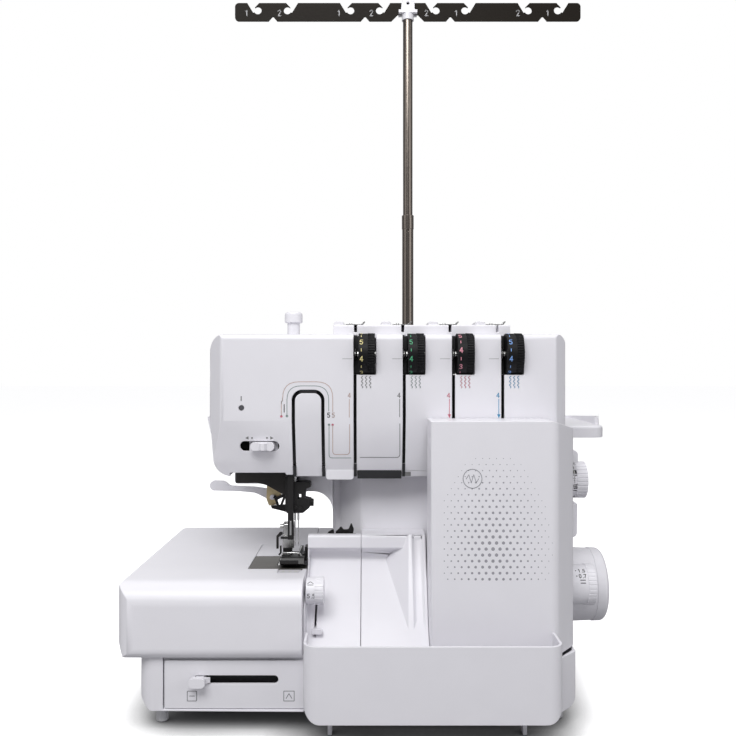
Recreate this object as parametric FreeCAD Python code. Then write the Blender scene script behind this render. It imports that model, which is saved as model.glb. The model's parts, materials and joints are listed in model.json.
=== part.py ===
import math
import os

from FreeCAD import Vector as V
import Part

# Serger (overlock) machine with a bed extension, trim bin, telescopic thread tree and spool stand.
# Millimetres. +X is to the operator's right, +Y away from the operator, +Z up, feet on Z = 0.
# The layout is drawn from a datum on the head's centre line at the bed extension's front face,
# and every part is moved at export so that the origin is the middle of the footprint.

# ---- driving dimensions -------------------------------------------------------------------
FOOT_H = 14.0
BASE_TOP = 61.0
BED_Z = 119.0
BED_LOW = 57.3
HEAD_BOTTOM = 197.0
HEAD_BREAK = 246.6
HEAD_TOP = 321.0
HEAD_FRONT = 45.0
# The face leans back below its middle, down to the facet break and then to the chin.
FACET_BREAK, FACET_IN, CHIN_IN = 211.0, 10.5, 16.5
HEAD_BACK = 152.0
HEAD_LEFT = -138.0
BODY_RIGHT = 172.0
BED_LEFT = -203.5
BED_BACK = 230.0
BASE_LEFT = -187.0
BASE_FRONT = 8.0
ARM_LEFT, ARM_RIGHT, ARM_FRONT, ARM_BACK = -103.0, -53.0, 50.0, 143.0
COLUMN_LEFT, COLUMN_FRONT = -32.0, 86.0
SEAM_X = -6.0
COVER_LEFT, COVER_FRONT, COVER_TOP, COVER_BOTTOM = 50.6, 3.0, 249.0, 60.0
BIN_FRONT, BIN_BACK, BIN_LEFT, BIN_RIGHT, BIN_FLOOR, BIN_RIM = -32.0, 7.3, -50.0, 150.0, 20.0, 80.0
STAND_BACK, STAND_FRONT, STAND_RIGHT, STAND_LEFT = 300.0, 165.0, 239.0, -157.0
STAND_Z, STAND_T, STAND_RIM = 222.0, 12.0, 242.5
WALL = 2.5
PANEL_TOP = 55.0

SLOT_XS = [-11.1, 31.1, 73.3, 115.5]
SLOT_W = 2.6
DIAL_R, DIAL_W, DIAL_Y, DIAL_Z = 18.0, 14.0, 52.7, 304.0
NEEDLE_XS, NEEDLE_Y = [-65.1, -62.2], 75.0
NEEDLE_BAR_X, NEEDLE_BAR_R = -65.6, 2.1
PRESSER_X, PRESSER_Y, PRESSER_R = -70.3, 90.0, 2.6
PRESSURE_X = -67.8
LEVER_PIVOT = (-94.0, 165.0)
HINGE = (10.5, 86.0)
SWING_R = 34.0
INLET_X = 149.0
STITCH_DIAL = (176.5, 85.0, 191.0)
FEED_DIAL = (BODY_RIGHT + 0.6, 67.0, 101.0)
WIDTH_DIAL = (ARM_RIGHT + 2.0, 25.0, 107.0)
LOWER_LOOPER = (-91.0, 82.0, 72.0)
UPPER_LOOPER = (-60.0, 96.0, 72.0)
FEED_XS = [-78.0, -73.6, -69.2]
MOTOR_Y, MOTOR_Z, MOTOR_R = 190.0, 58.0, 27.0
SHAFT_Y, SHAFT_Z, SHAFT_R = 120.0, 87.5, 6.0
WHEEL_R = 35.0
POLE_X, POLE_Y = 41.0, 185.0
POLE_OUT_R, POLE_IN_R, COLLAR_TOP, POLE_TOP = 5.8, 4.9, 449.0, 655.0
TREE_HALF, TREE_LOW, TREE_HIGH, TREE_T = 178.0, 649.4, 668.0, 2.0
SPOOL_XS = [-98.5, -5.5, 87.5, 180.5]
SPOOL_Y = 245.0
SPOOL_PIN_R, SPOOL_PIN_H, SPOOL_FOOT_R = 2.6, 62.0, 3.8

ORIGIN_SHIFT = V(-(BED_LEFT + STAND_RIGHT) / 2, -(BIN_FRONT + STAND_BACK) / 2, 0)

os.makedirs("parts", exist_ok=True)


# ---- helpers ------------------------------------------------------------------------------
def save(name, *shapes):
    """Moves the solids to the final frame and writes them as one node."""
    solids = []
    for shape in shapes:
        solids += shape.Solids
    shape = solids[0] if len(solids) == 1 else Part.makeCompound(solids)
    moved = shape.copy()
    moved.translate(ORIGIN_SHIFT)
    moved.exportStep(f"parts/{name}.step")


def box(x0, x1, y0, y1, z0, z1):
    return Part.makeBox(x1 - x0, y1 - y0, z1 - z0, V(x0, y0, z0))


def rod(start, axis, radius, length):
    return Part.makeCylinder(radius, length, V(*start), V(*axis))


def tube(start, axis, outer, inner, length):
    return rod(start, axis, outer, length).cut(rod(start, axis, inner, length))


def cone(start, axis, r0, r1, length):
    return Part.makeCone(r0, r1, length, V(*start), V(*axis))


def rounded_face(points, to_space):
    """A face from (u, v) or (u, v, radius) corners; a radius rounds its corner with a tangent arc."""
    edges, ends = [], []
    n = len(points)
    for i, point in enumerate(points):
        here = V(point[0], point[1], 0)
        radius = point[2] if len(point) > 2 else 0
        if not radius:
            ends.append((here, None, here))
            continue
        before = (V(*points[i - 1][:2], 0) - here).normalize()
        after = (V(*points[(i + 1) % n][:2], 0) - here).normalize()
        half = before.getAngle(after) / 2
        reach = radius / math.tan(half)
        centre = here + (before + after).normalize() * (radius / math.sin(half))
        middle = centre + (here - centre).normalize() * radius
        ends.append((here + before * reach, middle, here + after * reach))
    for i, (start, middle, end) in enumerate(ends):
        if middle:
            arc = Part.Arc(*(to_space(p) for p in (start, middle, end)))
            edges.append(arc.toShape())
        following = ends[(i + 1) % n][0]
        if (following - end).Length > 1e-6:
            edges.append(Part.makeLine(to_space(end), to_space(following)))
    return Part.Face(Part.Wire(edges))


def prism_xz(points, y0, y1):
    return rounded_face(points, lambda p: V(p.x, y0, p.y)).extrude(V(0, y1 - y0, 0))


def prism_yz(points, x0, x1):
    return rounded_face(points, lambda p: V(x0, p.x, p.y)).extrude(V(x1 - x0, 0, 0))


def prism_xy(points, z0, z1):
    return rounded_face(points, lambda p: V(p.x, p.y, z0)).extrude(V(0, 0, z1 - z0))


def join(*shapes):
    return shapes[0].multiFuse(list(shapes[1:])).removeSplitter()


def knurled(start, radius, length, count, depth):
    """A wheel along +X with grip grooves around its rim."""
    wheel = rod(start, (1, 0, 0), radius, length)
    cutters = []
    for i in range(count):
        angle = 2 * math.pi * i / count
        centre = V(start[0] - 1, start[1] + radius * math.cos(angle), start[2] + radius * math.sin(angle))
        cutters.append(Part.makeCylinder(depth, length + 2, centre, V(1, 0, 0)))
    return wheel.cut(Part.makeCompound(cutters))


def soften(shape, radius, keep):
    """Rounds the edges whose middle point passes the test."""
    chosen = [e for e in shape.Edges if keep(e.CenterOfMass)]
    return shape.makeFillet(radius, chosen) if chosen else shape


def biggest(shape):
    return max(shape.Solids, key=lambda s: s.Volume)


# ---- base ---------------------------------------------------------------------------------
def base_solid(inset, floor):
    """The base's outside, or with an inset and a floor height its inside."""
    front = [(BASE_LEFT + inset, FOOT_H + floor + 10), (BASE_LEFT + 10 + inset, FOOT_H + floor),
             (BODY_RIGHT - inset, FOOT_H + floor, 8), (BODY_RIGHT - inset, BASE_TOP + inset),
             (BASE_LEFT + inset, BASE_TOP + inset)]
    plan = [(BASE_LEFT + inset, BASE_FRONT + inset, 14), (BODY_RIGHT - 18, BASE_FRONT - 5 + inset, 4),
            (BODY_RIGHT - inset, BASE_FRONT + 14 + inset, 6),
            (BODY_RIGHT - inset, BED_BACK - 2 - inset, 10), (BASE_LEFT + inset, BED_BACK - 2 - inset, 12)]
    return prism_xz(front, 0, BED_BACK).common(prism_xy(plan, FOOT_H - 1, BASE_TOP + 10))


def base_tray():
    """The moulded tray that carries the machine, with the front wall behind panel and bin."""
    tray = base_solid(0, 0).common(box(-250, 250, -10, 260, FOOT_H, BASE_TOP))
    tray = tray.cut(base_solid(WALL, WALL))
    # The front lower panel sits in a pocket, and the bin's back wall in front of the right part.
    tray = tray.cut(box(-166.2, -51, 0, BASE_FRONT + 3.1, 15.6, BASE_TOP + 1))
    tray = tray.cut(box(BIN_LEFT - 2, BODY_RIGHT - 17, 0, BASE_FRONT, 0, BASE_TOP + 1))
    front_wall = box(-166.2, BODY_RIGHT - 17, BASE_FRONT + 3.1, BASE_FRONT + 5.6, FOOT_H + 1, BASE_TOP)
    tray = join(tray, front_wall.cut(box(-148, -68, 0, 20, 34, 45)))
    return tray.cut(box(ARM_RIGHT, BODY_RIGHT + 1, -10, HEAD_FRONT + 0.3, COVER_BOTTOM - 1.8,
                        BASE_TOP + 1))


def front_lower_panel():
    """The panel over the base's left front, with the mode lever's slot."""
    panel = box(-165.7, -51.5, BASE_FRONT, BASE_FRONT + 3, 16, PANEL_TOP)
    panel = soften(panel, 2.5, lambda c: c.y < BASE_FRONT + 2.5 and c.x < -165.6)
    slot = prism_xz([(-141.2, 36.2, 3.3), (-72.7, 36.2, 3.3), (-72.7, 42.9, 3.3), (-141.2, 42.9, 3.3)], 0,
                    20)
    return panel.cut(slot)


def slide_lever():
    """The mode lever's knob in front of the panel, on a stem through its slot."""
    stem = box(-139.5, -132.5, BASE_FRONT - 4, BASE_FRONT + 7.5, 36.9, 42.2)
    cap = prism_xz([(-143.8, 35.6, 3.5), (-130.5, 35.6, 3.5), (-130.5, 43.6, 3.5), (-143.8, 43.6, 3.5)],
                   -1, 4.2)
    ramp = prism_xy([(-132.6, 4), (-127.5, 7.2), (-132.6, 7.2)], 37.2, 42)
    return join(stem, cap, ramp)


def feet():
    """Four round feet under the tray's corners."""
    pads = []
    for x, y in ((-170.5, 24), (158, 30), (-170.5, 212), (158, 212)):
        pad = rod((x, y, 0), (0, 0, 1), 5.0, FOOT_H)
        pads.append(pad.makeChamfer(1.0, [e for e in pad.Edges if e.CenterOfMass.z < 0.1]))
    return pads


def rear_bed_cover():
    """The fixed bed behind the knife guard and the shell over the motor."""
    def solid(d, top):
        plan = [(ARM_RIGHT + 0.4 + d, COLUMN_FRONT + 60.5 + d),
                (COLUMN_LEFT - 0.5, COLUMN_FRONT + 60.5 + d),
                (COLUMN_LEFT - 0.5, HEAD_BACK + 0.5), (BODY_RIGHT - d, HEAD_BACK + 0.5),
                (BODY_RIGHT - d, BED_BACK - d, 8), (ARM_RIGHT + 0.4 + d, BED_BACK - d)]
        return prism_xy(plan, BASE_TOP - (1 if d else 0), top)
    shell = solid(0, BED_Z)
    shell = soften(shell, 4, lambda c: c.z > BED_Z - 0.1 and (c.y > BED_BACK - 6 or c.x > BODY_RIGHT - 6))
    shell = shell.cut(solid(WALL, BED_Z - WALL))
    louvres = [box(40 + 7 * i, 43 + 7 * i, BED_BACK - 4, BED_BACK + 1, 75, 102) for i in range(13)]
    belt_window = box(122, 146, HEAD_BACK, HEAD_BACK + 8, BASE_TOP - 1, BED_Z - 6)
    socket = box(INLET_X - 7, INLET_X + 7, BED_BACK - 5, BED_BACK + 1, 72, 88)
    return shell.cut(Part.makeCompound(louvres + [belt_window, socket]))


# ---- bed ----------------------------------------------------------------------------------
def bed_solid(low, depth, plan):
    """A block with the bed's rounded top edges, sunk by a depth on every face but the lowest."""
    front, back, left, top = depth, BED_BACK - depth, BED_LEFT + depth, BED_Z - depth
    side = [(front, low, 10), (back, low), (back, top, 2), (front, top, 19)]
    face = [(left + 6.5, low, 4), (ARM_RIGHT, low), (ARM_RIGHT, top), (left, top, 7),
            (left, low + 14, 12)]
    solid = prism_yz(side, BED_LEFT, ARM_RIGHT).common(prism_xz(face, -1, BED_BACK + 1))
    return solid.common(prism_xy(plan, low - 1, BED_Z + 1))


def bed_plan(d, right):
    return [(BED_LEFT + d, d, 16), (right, d), (right, BED_BACK - d), (BED_LEFT + d, BED_BACK - d, 14)]


def bed_extension():
    """The removable bed: a shell round the free arm, whose front and left edges turn in underneath."""
    notch = box(ARM_LEFT - 0.5, ARM_RIGHT + 5, ARM_FRONT - 0.5, ARM_BACK + 0.5, 0, BED_Z + 5)
    wall = box(ARM_LEFT - 0.5 - WALL, ARM_RIGHT + 5, ARM_FRONT - 0.5 - WALL, ARM_BACK + 0.5 + WALL, 0,
               BED_Z + 5)
    inside = bed_solid(BED_LOW + WALL, WALL, bed_plan(WALL, ARM_RIGHT - WALL))
    shell = bed_solid(BED_LOW, 0, bed_plan(0, ARM_RIGHT)).cut(notch).cut(inside.cut(wall))
    # The base's top fills the opening behind the turned-in edges.
    shell = shell.cut(box(BASE_LEFT - 0.8, ARM_RIGHT + 5, BASE_FRONT - 0.7, BED_BACK + 5, 0,
                          BASE_TOP + 0.2))
    return shell.cut(box(-77, -56.5, 36, ARM_FRONT, BED_Z - 1.2, BED_Z + 1))


def arm_shell():
    """The free arm that the needle plate sits on."""
    outer = box(ARM_LEFT, ARM_RIGHT, ARM_FRONT, ARM_BACK, BASE_TOP, BED_Z)
    inner = box(ARM_LEFT + WALL, ARM_RIGHT + 5, ARM_FRONT + WALL, ARM_BACK - WALL, BASE_TOP - 1,
                BED_Z - WALL)
    plate_seat = box(ARM_LEFT - 1, ARM_RIGHT + 1, ARM_FRONT - 1, 96.2, BED_Z - 2.2, BED_Z + 1)
    window = box(ARM_LEFT + 8, ARM_RIGHT + 1, ARM_FRONT + 8, 92, BED_Z - 6, BED_Z + 1)
    return outer.cut(inner).cut(plate_seat).cut(window)


def needle_plate():
    """The steel plate on the free arm, with slots for the feed dogs, needles and knife."""
    plate = box(ARM_LEFT, ARM_RIGHT - 0.4, ARM_FRONT, 96.0, BED_Z - 2, BED_Z)
    for x in FEED_XS:
        plate = plate.cut(box(x - 1.9, x + 1.9, 62, 92, BED_Z - 3, BED_Z + 1))
    plate = plate.cut(box(-66.9, -60.4, NEEDLE_Y - 1.6, NEEDLE_Y + 1.6, BED_Z - 3, BED_Z + 1))
    return plate.cut(box(-58.4, ARM_RIGHT + 1, 62, 92, BED_Z - 3, BED_Z + 1))


def feed_dogs():
    """Three toothed bars on one carrier under the needle plate."""
    carrier = box(-80, -67.2, 78, 90, BED_Z - 9, BED_Z - 5)
    bars = []
    for x in FEED_XS:
        profile = [(64.0, BED_Z - 9), (90.0, BED_Z - 9)]
        teeth, pitch = 10, 2.6
        for i in range(teeth, 0, -1):
            profile.append((64.0 + pitch * i, BED_Z - 0.6))
            profile.append((64.0 + pitch * (i - 0.55), BED_Z + 0.6))
        profile.append((64.0, BED_Z - 0.6))
        bars.append(prism_yz(profile, x - 1.3, x + 1.3))
    return join(carrier, *bars)


def lower_looper():
    """Swings from the left to under the needles, about a shaft that runs fore and aft."""
    x, y, z = LOWER_LOOPER
    shaft = rod((x, y - 6, z), (0, 1, 0), 3.0, 12)
    arm = prism_xz([(x - 3, z - 2, 1), (x + 3, z - 2, 1), (x + 0.5, z + 20, 4), (x + 5, z + 26, 1),
                    (x + 12, z + 28.2),
                    (x + 4, z + 29.5, 3), (x - 3.5, z + 24, 4)], y - 2, y + 0.5)
    return join(shaft, arm)


def upper_looper():
    """Swings from the right, over the edge of the cloth, about a parallel shaft behind."""
    x, y, z = UPPER_LOOPER
    shaft = rod((x, y - 3, z), (0, 1, 0), 3.0, 9)
    arm = prism_xz([(x - 3, z - 2, 1), (x + 3, z - 2, 1), (x + 4, z + 18, 4), (x - 1, z + 29, 3),
                    (x - 7, z + 31.5),
                    (x - 2.5, z + 25, 3), (x, z + 16, 4)], y - 1, y + 1.5)
    return join(shaft, arm)


# ---- knife guard, chute and looper cover ---------------------------------------------------
# The sheet runs from the ledge's rear edge over its front face, in under it, and down the slope.
CHUTE_FACE = [(61.0, 145.5, 2.5), (60, 134.3, 1.5), (68, 130, 4), (72, 123, 4), (12, 62), (12, 59.8),
              (16, 59.8),
              (75.5, 120.5, 5), (71, 132, 4), (63, 136.3, 1), (63.6, 143, 1)]


def knife_guard():
    """The fixed left part of the raised ledge and trim chute, with a side wall for the width dial."""
    sheet = prism_yz([(68.6, 145.5)] + CHUTE_FACE + [(68.6, 143)], ARM_RIGHT + 0.3, SEAM_X - 0.2)
    slit = box(-44.8, -43.2, 20, 52, 70, 104)
    wall = prism_yz([(10, 61.4), (60, 61.4), (71, 122), (68.6, 145, 2), (61.5, 145, 2), (60.5, 119),
                     (10, 96, 12)],
                    ARM_RIGHT + 0.3, ARM_RIGHT + 1.7)
    return join(sheet.cut(slit), wall)


def wedge(front_foot, front_top, rear_foot, rear_top, right):
    """A block between four left-hand corners and the same heights and depths at its right-hand face."""
    a, b, c, d = (V(*p) for p in (front_foot, front_top, rear_top, rear_foot))
    e, f, g, h = (V(right, p.y, p.z) for p in (a, b, c, d))
    loops = [(a, b, d), (b, c, d), (a, e, f, b), (b, f, g, c), (c, g, h, d), (d, h, e, a), (e, h, g, f)]
    faces = [Part.Face(Part.makePolygon([*loop, loop[0]])) for loop in loops]
    return Part.makeSolid(Part.makeShell(faces))


def chute_wing():
    """The right part of ledge and chute, which opens with the looper cover, and its grooved cheek."""
    right = COVER_LEFT - 0.3
    sheet = prism_yz([(COLUMN_FRONT - 0.6, 146)] + CHUTE_FACE + [(COLUMN_FRONT - 0.6, 143)],
                     SEAM_X + 0.2, right)
    cheek = wedge((33.6, 24, 73.6), (35.3, 60.5, 146), (15, 71.5, 121.5), (35.3, 62, 146), right)
    hollow = wedge((38.5, 36, 80), (39.5, 62.5, 139), (26, 73.5, 116.5), (39.5, 66, 139), right - 2.5)
    # A finger groove runs up the cheek's leaning front.
    run = V(0, 36.5, 72.4)
    groove = Part.makeCylinder(5.6, run.Length + 20, V(43.2, 24, 73.6) - run * 0.12 + V(0, -2.6, 1.3),
                               run)
    return join(sheet, cheek.cut(groove)).cut(hollow)


def looper_cover():
    """The front cover over the loopers, open at the back and the bottom."""
    def solid(d):
        plan = [(COVER_LEFT + d, COVER_FRONT + d, 2 if not d else 0),
                (BODY_RIGHT - 20 - d / 3, COVER_FRONT + d, 10),
                (BODY_RIGHT - d, COVER_FRONT + 26, 10), (BODY_RIGHT - d, HEAD_FRONT - 0.6 + d),
                (COVER_LEFT + d, HEAD_FRONT - 0.6 + d)]
        return prism_xy(plan, COVER_BOTTOM, COVER_TOP - d)
    shell = solid(0)
    slope = prism_xz([(BODY_RIGHT - 22, COVER_TOP), (BODY_RIGHT + 5, COVER_TOP - 9),
                      (BODY_RIGHT + 5, COVER_TOP + 5),
                      (BODY_RIGHT - 22, COVER_TOP + 5)], -5, 60)
    inner = solid(WALL).cut(box(0, 300, -50, 100, COVER_TOP - WALL - 8, COVER_TOP + 5))
    shell = shell.cut(slope).cut(inner).cut(box(0, 300, HEAD_FRONT - 0.5, 100, 0, 400))
    # The lower rear corner is rounded about the hinge, so that it clears the cheek as the cover tilts.
    below_hinge = box(0, 300, HINGE[0], 100, 0, HINGE[1])
    shell = shell.cut(below_hinge.cut(rod((0, *HINGE), (1, 0, 0), SWING_R, 300)))
    lugs = [box(x, x + 14, COVER_FRONT + 1, 14, HINGE[1] - 3, HINGE[1] + 3) for x in (60, 136)]
    return join(shell, *lugs).cut(rod((40, *HINGE), (1, 0, 0), 1.6, 115))


def cover_hinge_pin():
    """The rod that the looper cover tilts on and slides with."""
    return rod((58, *HINGE), (1, 0, 0), 1.55, 94)


def trim_bin():
    """The bin for cloth trimmings that hangs in front of base and cover."""
    def solid(d):
        front = [(BIN_LEFT + d, BIN_FLOOR + d, 14 - d), (BIN_RIGHT - d, BIN_FLOOR + d, 14 - d),
                 (BIN_RIGHT - d, BIN_RIM + 5 * d), (BIN_LEFT + d, BIN_RIM + 5 * d)]
        plan = [(BIN_LEFT + d, BIN_FRONT + d, 11 - d), (BIN_RIGHT - d, BIN_FRONT + d, 11 - d),
                (BIN_RIGHT - d, BIN_BACK - d), (BIN_LEFT + d, BIN_BACK - d)]
        return prism_xz(front, BIN_FRONT, BIN_BACK).common(prism_xy(plan, 0, 100))
    shell = solid(0).cut(solid(2.2))
    shell = shell.cut(box(-60, 160, 1.5, 10, 57, 100))
    legs = [box(x - 1.7, x + 1.7, -4, 4, 0, BIN_FLOOR + 1) for x in (-30.4, 124.8)]
    return join(shell, *legs)


# ---- column and head -----------------------------------------------------------------------
def column_shell():
    """The body under the head, with its side cheeks, threading panel and dial boss."""
    def solid(d):
        front = [(COLUMN_LEFT + d, BASE_TOP - (1 if d else 0)),
                 (BODY_RIGHT - d, BASE_TOP - (1 if d else 0)), (BODY_RIGHT - d, HEAD_BOTTOM - 0.5),
                 (-121 + d, HEAD_BOTTOM - 0.5), (-121 + d, 187 + d, 3), (-78 + d, 187 + d),
                 (-70 + d, 180 + d, 3), (COLUMN_LEFT + d, 180 + d, 18 + d)]
        plan = [(-130, COLUMN_FRONT + d), (SEAM_X - 26, COLUMN_FRONT + d),
                (SEAM_X - 26, COLUMN_FRONT + 22 + d, 4), (SEAM_X, COLUMN_FRONT + d, 6),
                (BODY_RIGHT, COLUMN_FRONT + d), (BODY_RIGHT, HEAD_BACK - d), (-130, HEAD_BACK - d)]
        return prism_xz(front, COLUMN_FRONT - 1, HEAD_BACK + 1).common(prism_xy(plan, 0, 400))
    shell = solid(0).cut(solid(WALL)).cut(box(-200, 200, HEAD_BACK - WALL, HEAD_BACK + 1, 0, 400))
    # Side cheeks run forward to the looper cover.
    cheek = box(BODY_RIGHT - WALL, BODY_RIGHT, HEAD_FRONT + 0.2, COLUMN_FRONT, BASE_TOP,
                HEAD_BOTTOM - 0.5)
    corner = box(BODY_RIGHT - WALL, BODY_RIGHT, HEAD_FRONT - 12, HEAD_FRONT + 1, BASE_TOP, HINGE[1] - 0.5)
    corner = corner.cut(rod((0, *HINGE), (1, 0, 0), SWING_R + 0.5, 300))
    inner_x = COVER_LEFT + 7
    inner_cheek = box(inner_x, inner_x + WALL, 64, COLUMN_FRONT + 1, BASE_TOP, HEAD_BOTTOM - 0.5)
    threading_panel = box(inner_x, BODY_RIGHT - 1, 62, 64.5, BASE_TOP, HEAD_BOTTOM - 0.5)
    ports = [rod((x, 60, 150), (0, 1, 0), 3.2, 6) for x in (72, 92)]
    # Two arms hold the looper cover's hinge pin.
    arms = [box(x, x + 6, HINGE[0] - 2.5, 63, HINGE[1] - 3, HINGE[1] + 3) for x in (84, 118)]
    arms = [arm.cut(rod((80, *HINGE), (1, 0, 0), 1.6, 60)) for arm in arms]
    boss = prism_xz([(BODY_RIGHT + 0.2, 142), (183.5, 144, 4), (184.5, 218, 4), (BODY_RIGHT + 0.2, 225)],
                    62, 112)
    boss = join(boss.cut(box(176, 190, 60, 114, 173, 209)),
                box(BODY_RIGHT - 1, BODY_RIGHT + 1, 64, 110, 144, 196))
    shell = join(shell, cheek, corner, inner_cheek, threading_panel.cut(Part.makeCompound(ports)), boss,
                 *arms)
    bores = [rod((BODY_RIGHT - 10, SHAFT_Y, SHAFT_Z), (1, 0, 0), SHAFT_R + 0.6, 20),
             rod((BODY_RIGHT - 10, STITCH_DIAL[1], STITCH_DIAL[2]), (1, 0, 0), 3.3, 20),
             rod((BODY_RIGHT - 10, FEED_DIAL[1], FEED_DIAL[2]), (1, 0, 0), 3.3, 20)]
    window = box(168, 176, 126, 146, 146, 174)
    arm_pass = box(ARM_RIGHT - 5, COLUMN_LEFT + 10, 108, 132, 75, 100)
    bar_pass = box(-78, -62, COLUMN_FRONT - 2, PRESSER_Y + 8, 178, HEAD_BOTTOM)
    return shell.cut(Part.makeCompound(bores + [window, arm_pass, bar_pass]))


def rear_cover():
    """The flat back of head and column."""
    outline = [(COLUMN_LEFT, BED_Z + 0.4), (BODY_RIGHT, BED_Z + 0.4), (BODY_RIGHT, HEAD_TOP - 1, 12),
               (HEAD_LEFT + 1, HEAD_TOP - 1, 12), (HEAD_LEFT + 1, 240), (HEAD_LEFT + 6, HEAD_BOTTOM, 8),
               (-121, 180, 5), (COLUMN_LEFT, 180, 18)]
    plate = prism_xz(outline, HEAD_BACK + 0.1 - WALL, HEAD_BACK)
    louvres = [box(20 + 8 * i, 24 + 8 * i, 140, 160, 265, 295) for i in range(9)]
    return plate.cut(Part.makeCompound(louvres))


def head_solid(d):
    """The head's outside, or with a depth the space inside its walls."""
    side = [(HEAD_FRONT + d, HEAD_TOP - d, 5 if not d else 3), (HEAD_FRONT + d, HEAD_BREAK),
            (HEAD_FRONT + FACET_IN + d, FACET_BREAK), (HEAD_FRONT + CHIN_IN + d, HEAD_BOTTOM + d),
            (HEAD_BACK, HEAD_BOTTOM + d), (HEAD_BACK, HEAD_TOP - d)]
    front = [(HEAD_LEFT + d, HEAD_TOP - d, 14 - d), (HEAD_LEFT - 0.5 + d, 250),
             (HEAD_LEFT + 5 + d, HEAD_BOTTOM + d, 15),
             (BODY_RIGHT - d, HEAD_BOTTOM + d), (BODY_RIGHT - d, HEAD_TOP - d, 9)]
    plan = [(HEAD_LEFT - 1 + d, HEAD_FRONT + 16, 5), (HEAD_LEFT + 12 + d / 2, HEAD_FRONT + d, 5),
            (BODY_RIGHT - 11 - d / 2, HEAD_FRONT + d, 5), (BODY_RIGHT + 0.1 - d, HEAD_FRONT + 12, 5),
            (BODY_RIGHT + 0.1 - d, HEAD_BACK), (HEAD_LEFT - 1 + d, HEAD_BACK)]
    solid = prism_yz(side, HEAD_LEFT - 5, BODY_RIGHT + 5)
    return solid.common(prism_xz(front, 0, 300)).common(prism_xy(plan, 0, 400))


def thread_slots():
    """Open channels where the threads run down the face, and the inverted U round the take-up."""
    cuts = []
    for i, x in enumerate(SLOT_XS):
        low = HEAD_BOTTOM - 5 if i < 2 else 225.0
        cuts.append(box(x - SLOT_W / 2, x + SLOT_W / 2, HEAD_FRONT - 5, HEAD_FRONT + 14, low,
                        HEAD_TOP + 5))
        cuts.append(box(x - SLOT_W / 2, x + SLOT_W / 2, HEAD_FRONT + 10, 92, HEAD_TOP - 9, HEAD_TOP + 5))
        cuts.append(box(x - SLOT_W / 2, x + 3 + DIAL_W + 1.0, HEAD_FRONT - 5, 73, 286.2, HEAD_TOP + 5))
    outer = prism_xz([(-65.4, HEAD_BOTTOM - 5), (-65.4, 273.3, 9), (-37.3, 273.3, 9),
                      (-37.3, HEAD_BOTTOM - 5)], 40, 62)
    tongue = prism_xz([(-62.6, HEAD_BOTTOM - 9), (-62.6, 270.3, 6.5), (-40.1, 270.3, 6.5),
                       (-40.1, HEAD_BOTTOM - 9)],
                      39, 63)
    cuts.append(outer.cut(tongue))
    return cuts


def head_cover():
    """The one-piece shell round the head, open at the back and round the needle works."""
    skin = head_solid(0).cut(head_solid(WALL))
    shell = skin.common(box(-300, 300, 0, HEAD_BACK - WALL, 0, 400))
    cuts = thread_slots()
    cuts.append(rod((-108.5, 40, 257.8), (0, 1, 0), 2.3, 20))
    cuts.append(prism_xz([(-110.6, 220.2, 4.2), (-76.8, 220.2, 4.2), (-76.8, 228.8, 4.2),
                          (-110.6, 228.8, 4.2)], 40, 62))
    cuts.append(rod((PRESSURE_X, PRESSER_Y, HEAD_TOP - 10), (0, 0, 1), 6.2, 20))
    cuts.append(box(-121, -72, HEAD_FRONT - 1, HEAD_FRONT + 25, HEAD_BOTTOM - 5, HEAD_BOTTOM + 3.3))
    # Underside openings round the needle works, and the lip between the first two slots.
    cuts.append(box(-71.6, -64.5, HEAD_FRONT + 16, HEAD_FRONT + 24, HEAD_BOTTOM - 5, HEAD_BOTTOM + 6))
    cuts.append(box(-122, -37.3, HEAD_FRONT + 21, HEAD_BACK - 16, HEAD_BOTTOM - 5, HEAD_BOTTOM + 3))
    cuts.append(box(-30, 150, COLUMN_FRONT + 5, HEAD_BACK - 16, HEAD_BOTTOM - 5, HEAD_BOTTOM + 3))
    cuts.append(box(-9.3, 29.3, HEAD_FRONT - 5, COLUMN_FRONT - 2, HEAD_BOTTOM - 5, 202.6))
    shell = shell.cut(Part.makeCompound(cuts))
    # The take-up tongue hangs on two ribs from the cover's roof.
    tongue = prism_xz([(-62.6, HEAD_BOTTOM), (-62.6, 270.3, 6.5), (-40.1, 270.3, 6.5),
                       (-40.1, HEAD_BOTTOM)], 40, 100)
    tongue = tongue.common(skin).common(box(-70, -30, 40, 72, 0, 400))
    ribs = [box(x - 1, x + 1, HEAD_FRONT + 2, 59.2, 262, HEAD_TOP - 1) for x in (-57, -46)]
    ribs = [r.common(head_solid(0.5)).cut(box(-70, -30, 40, HEAD_FRONT + 9, 265, 330)) for r in ribs]
    lip_face = HEAD_FRONT + 13.6
    lip = prism_yz([(lip_face, 202.5), (lip_face, 194.4), (76, 194.4), (76, 207), (lip_face + 2.4, 207)],
                   -36.7, -12.5)
    lip = lip.common(prism_xz([(-36.7, 194.4, 2.5), (-12.5, 194.4, 2.5), (-12.5, 208), (-36.7, 208)], 40,
                              80))
    return join(biggest(shell), tongue, lip, *ribs)


def thread_channels():
    """Dark liners behind each slot, so that a thread slides in a closed groove."""
    liners = []
    for i, x in enumerate(SLOT_XS):
        low = 208.0 if i < 2 else 226.0
        outer = box(x - 3.2, x + 3.2, HEAD_FRONT + 14.5, HEAD_FRONT + 22, low, 286)
        inner = box(x - 2.0, x + 2.0, HEAD_FRONT + 14, HEAD_FRONT + 20.5, low - 1, 287)
        liners.append(outer.cut(inner))
    loop_out = prism_xz([(-67.4, 208), (-67.4, 275.3, 10), (-35.3, 275.3, 10), (-35.3, 208)], 59.5, 61)
    liners.append(loop_out.cut(box(-59, -44, 50, 70, 190, 268)))
    liners.append(box(-9.2, 29.2, HEAD_FRONT + 14, HEAD_FRONT + 17, 195.4, 202.4))
    return liners


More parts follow.
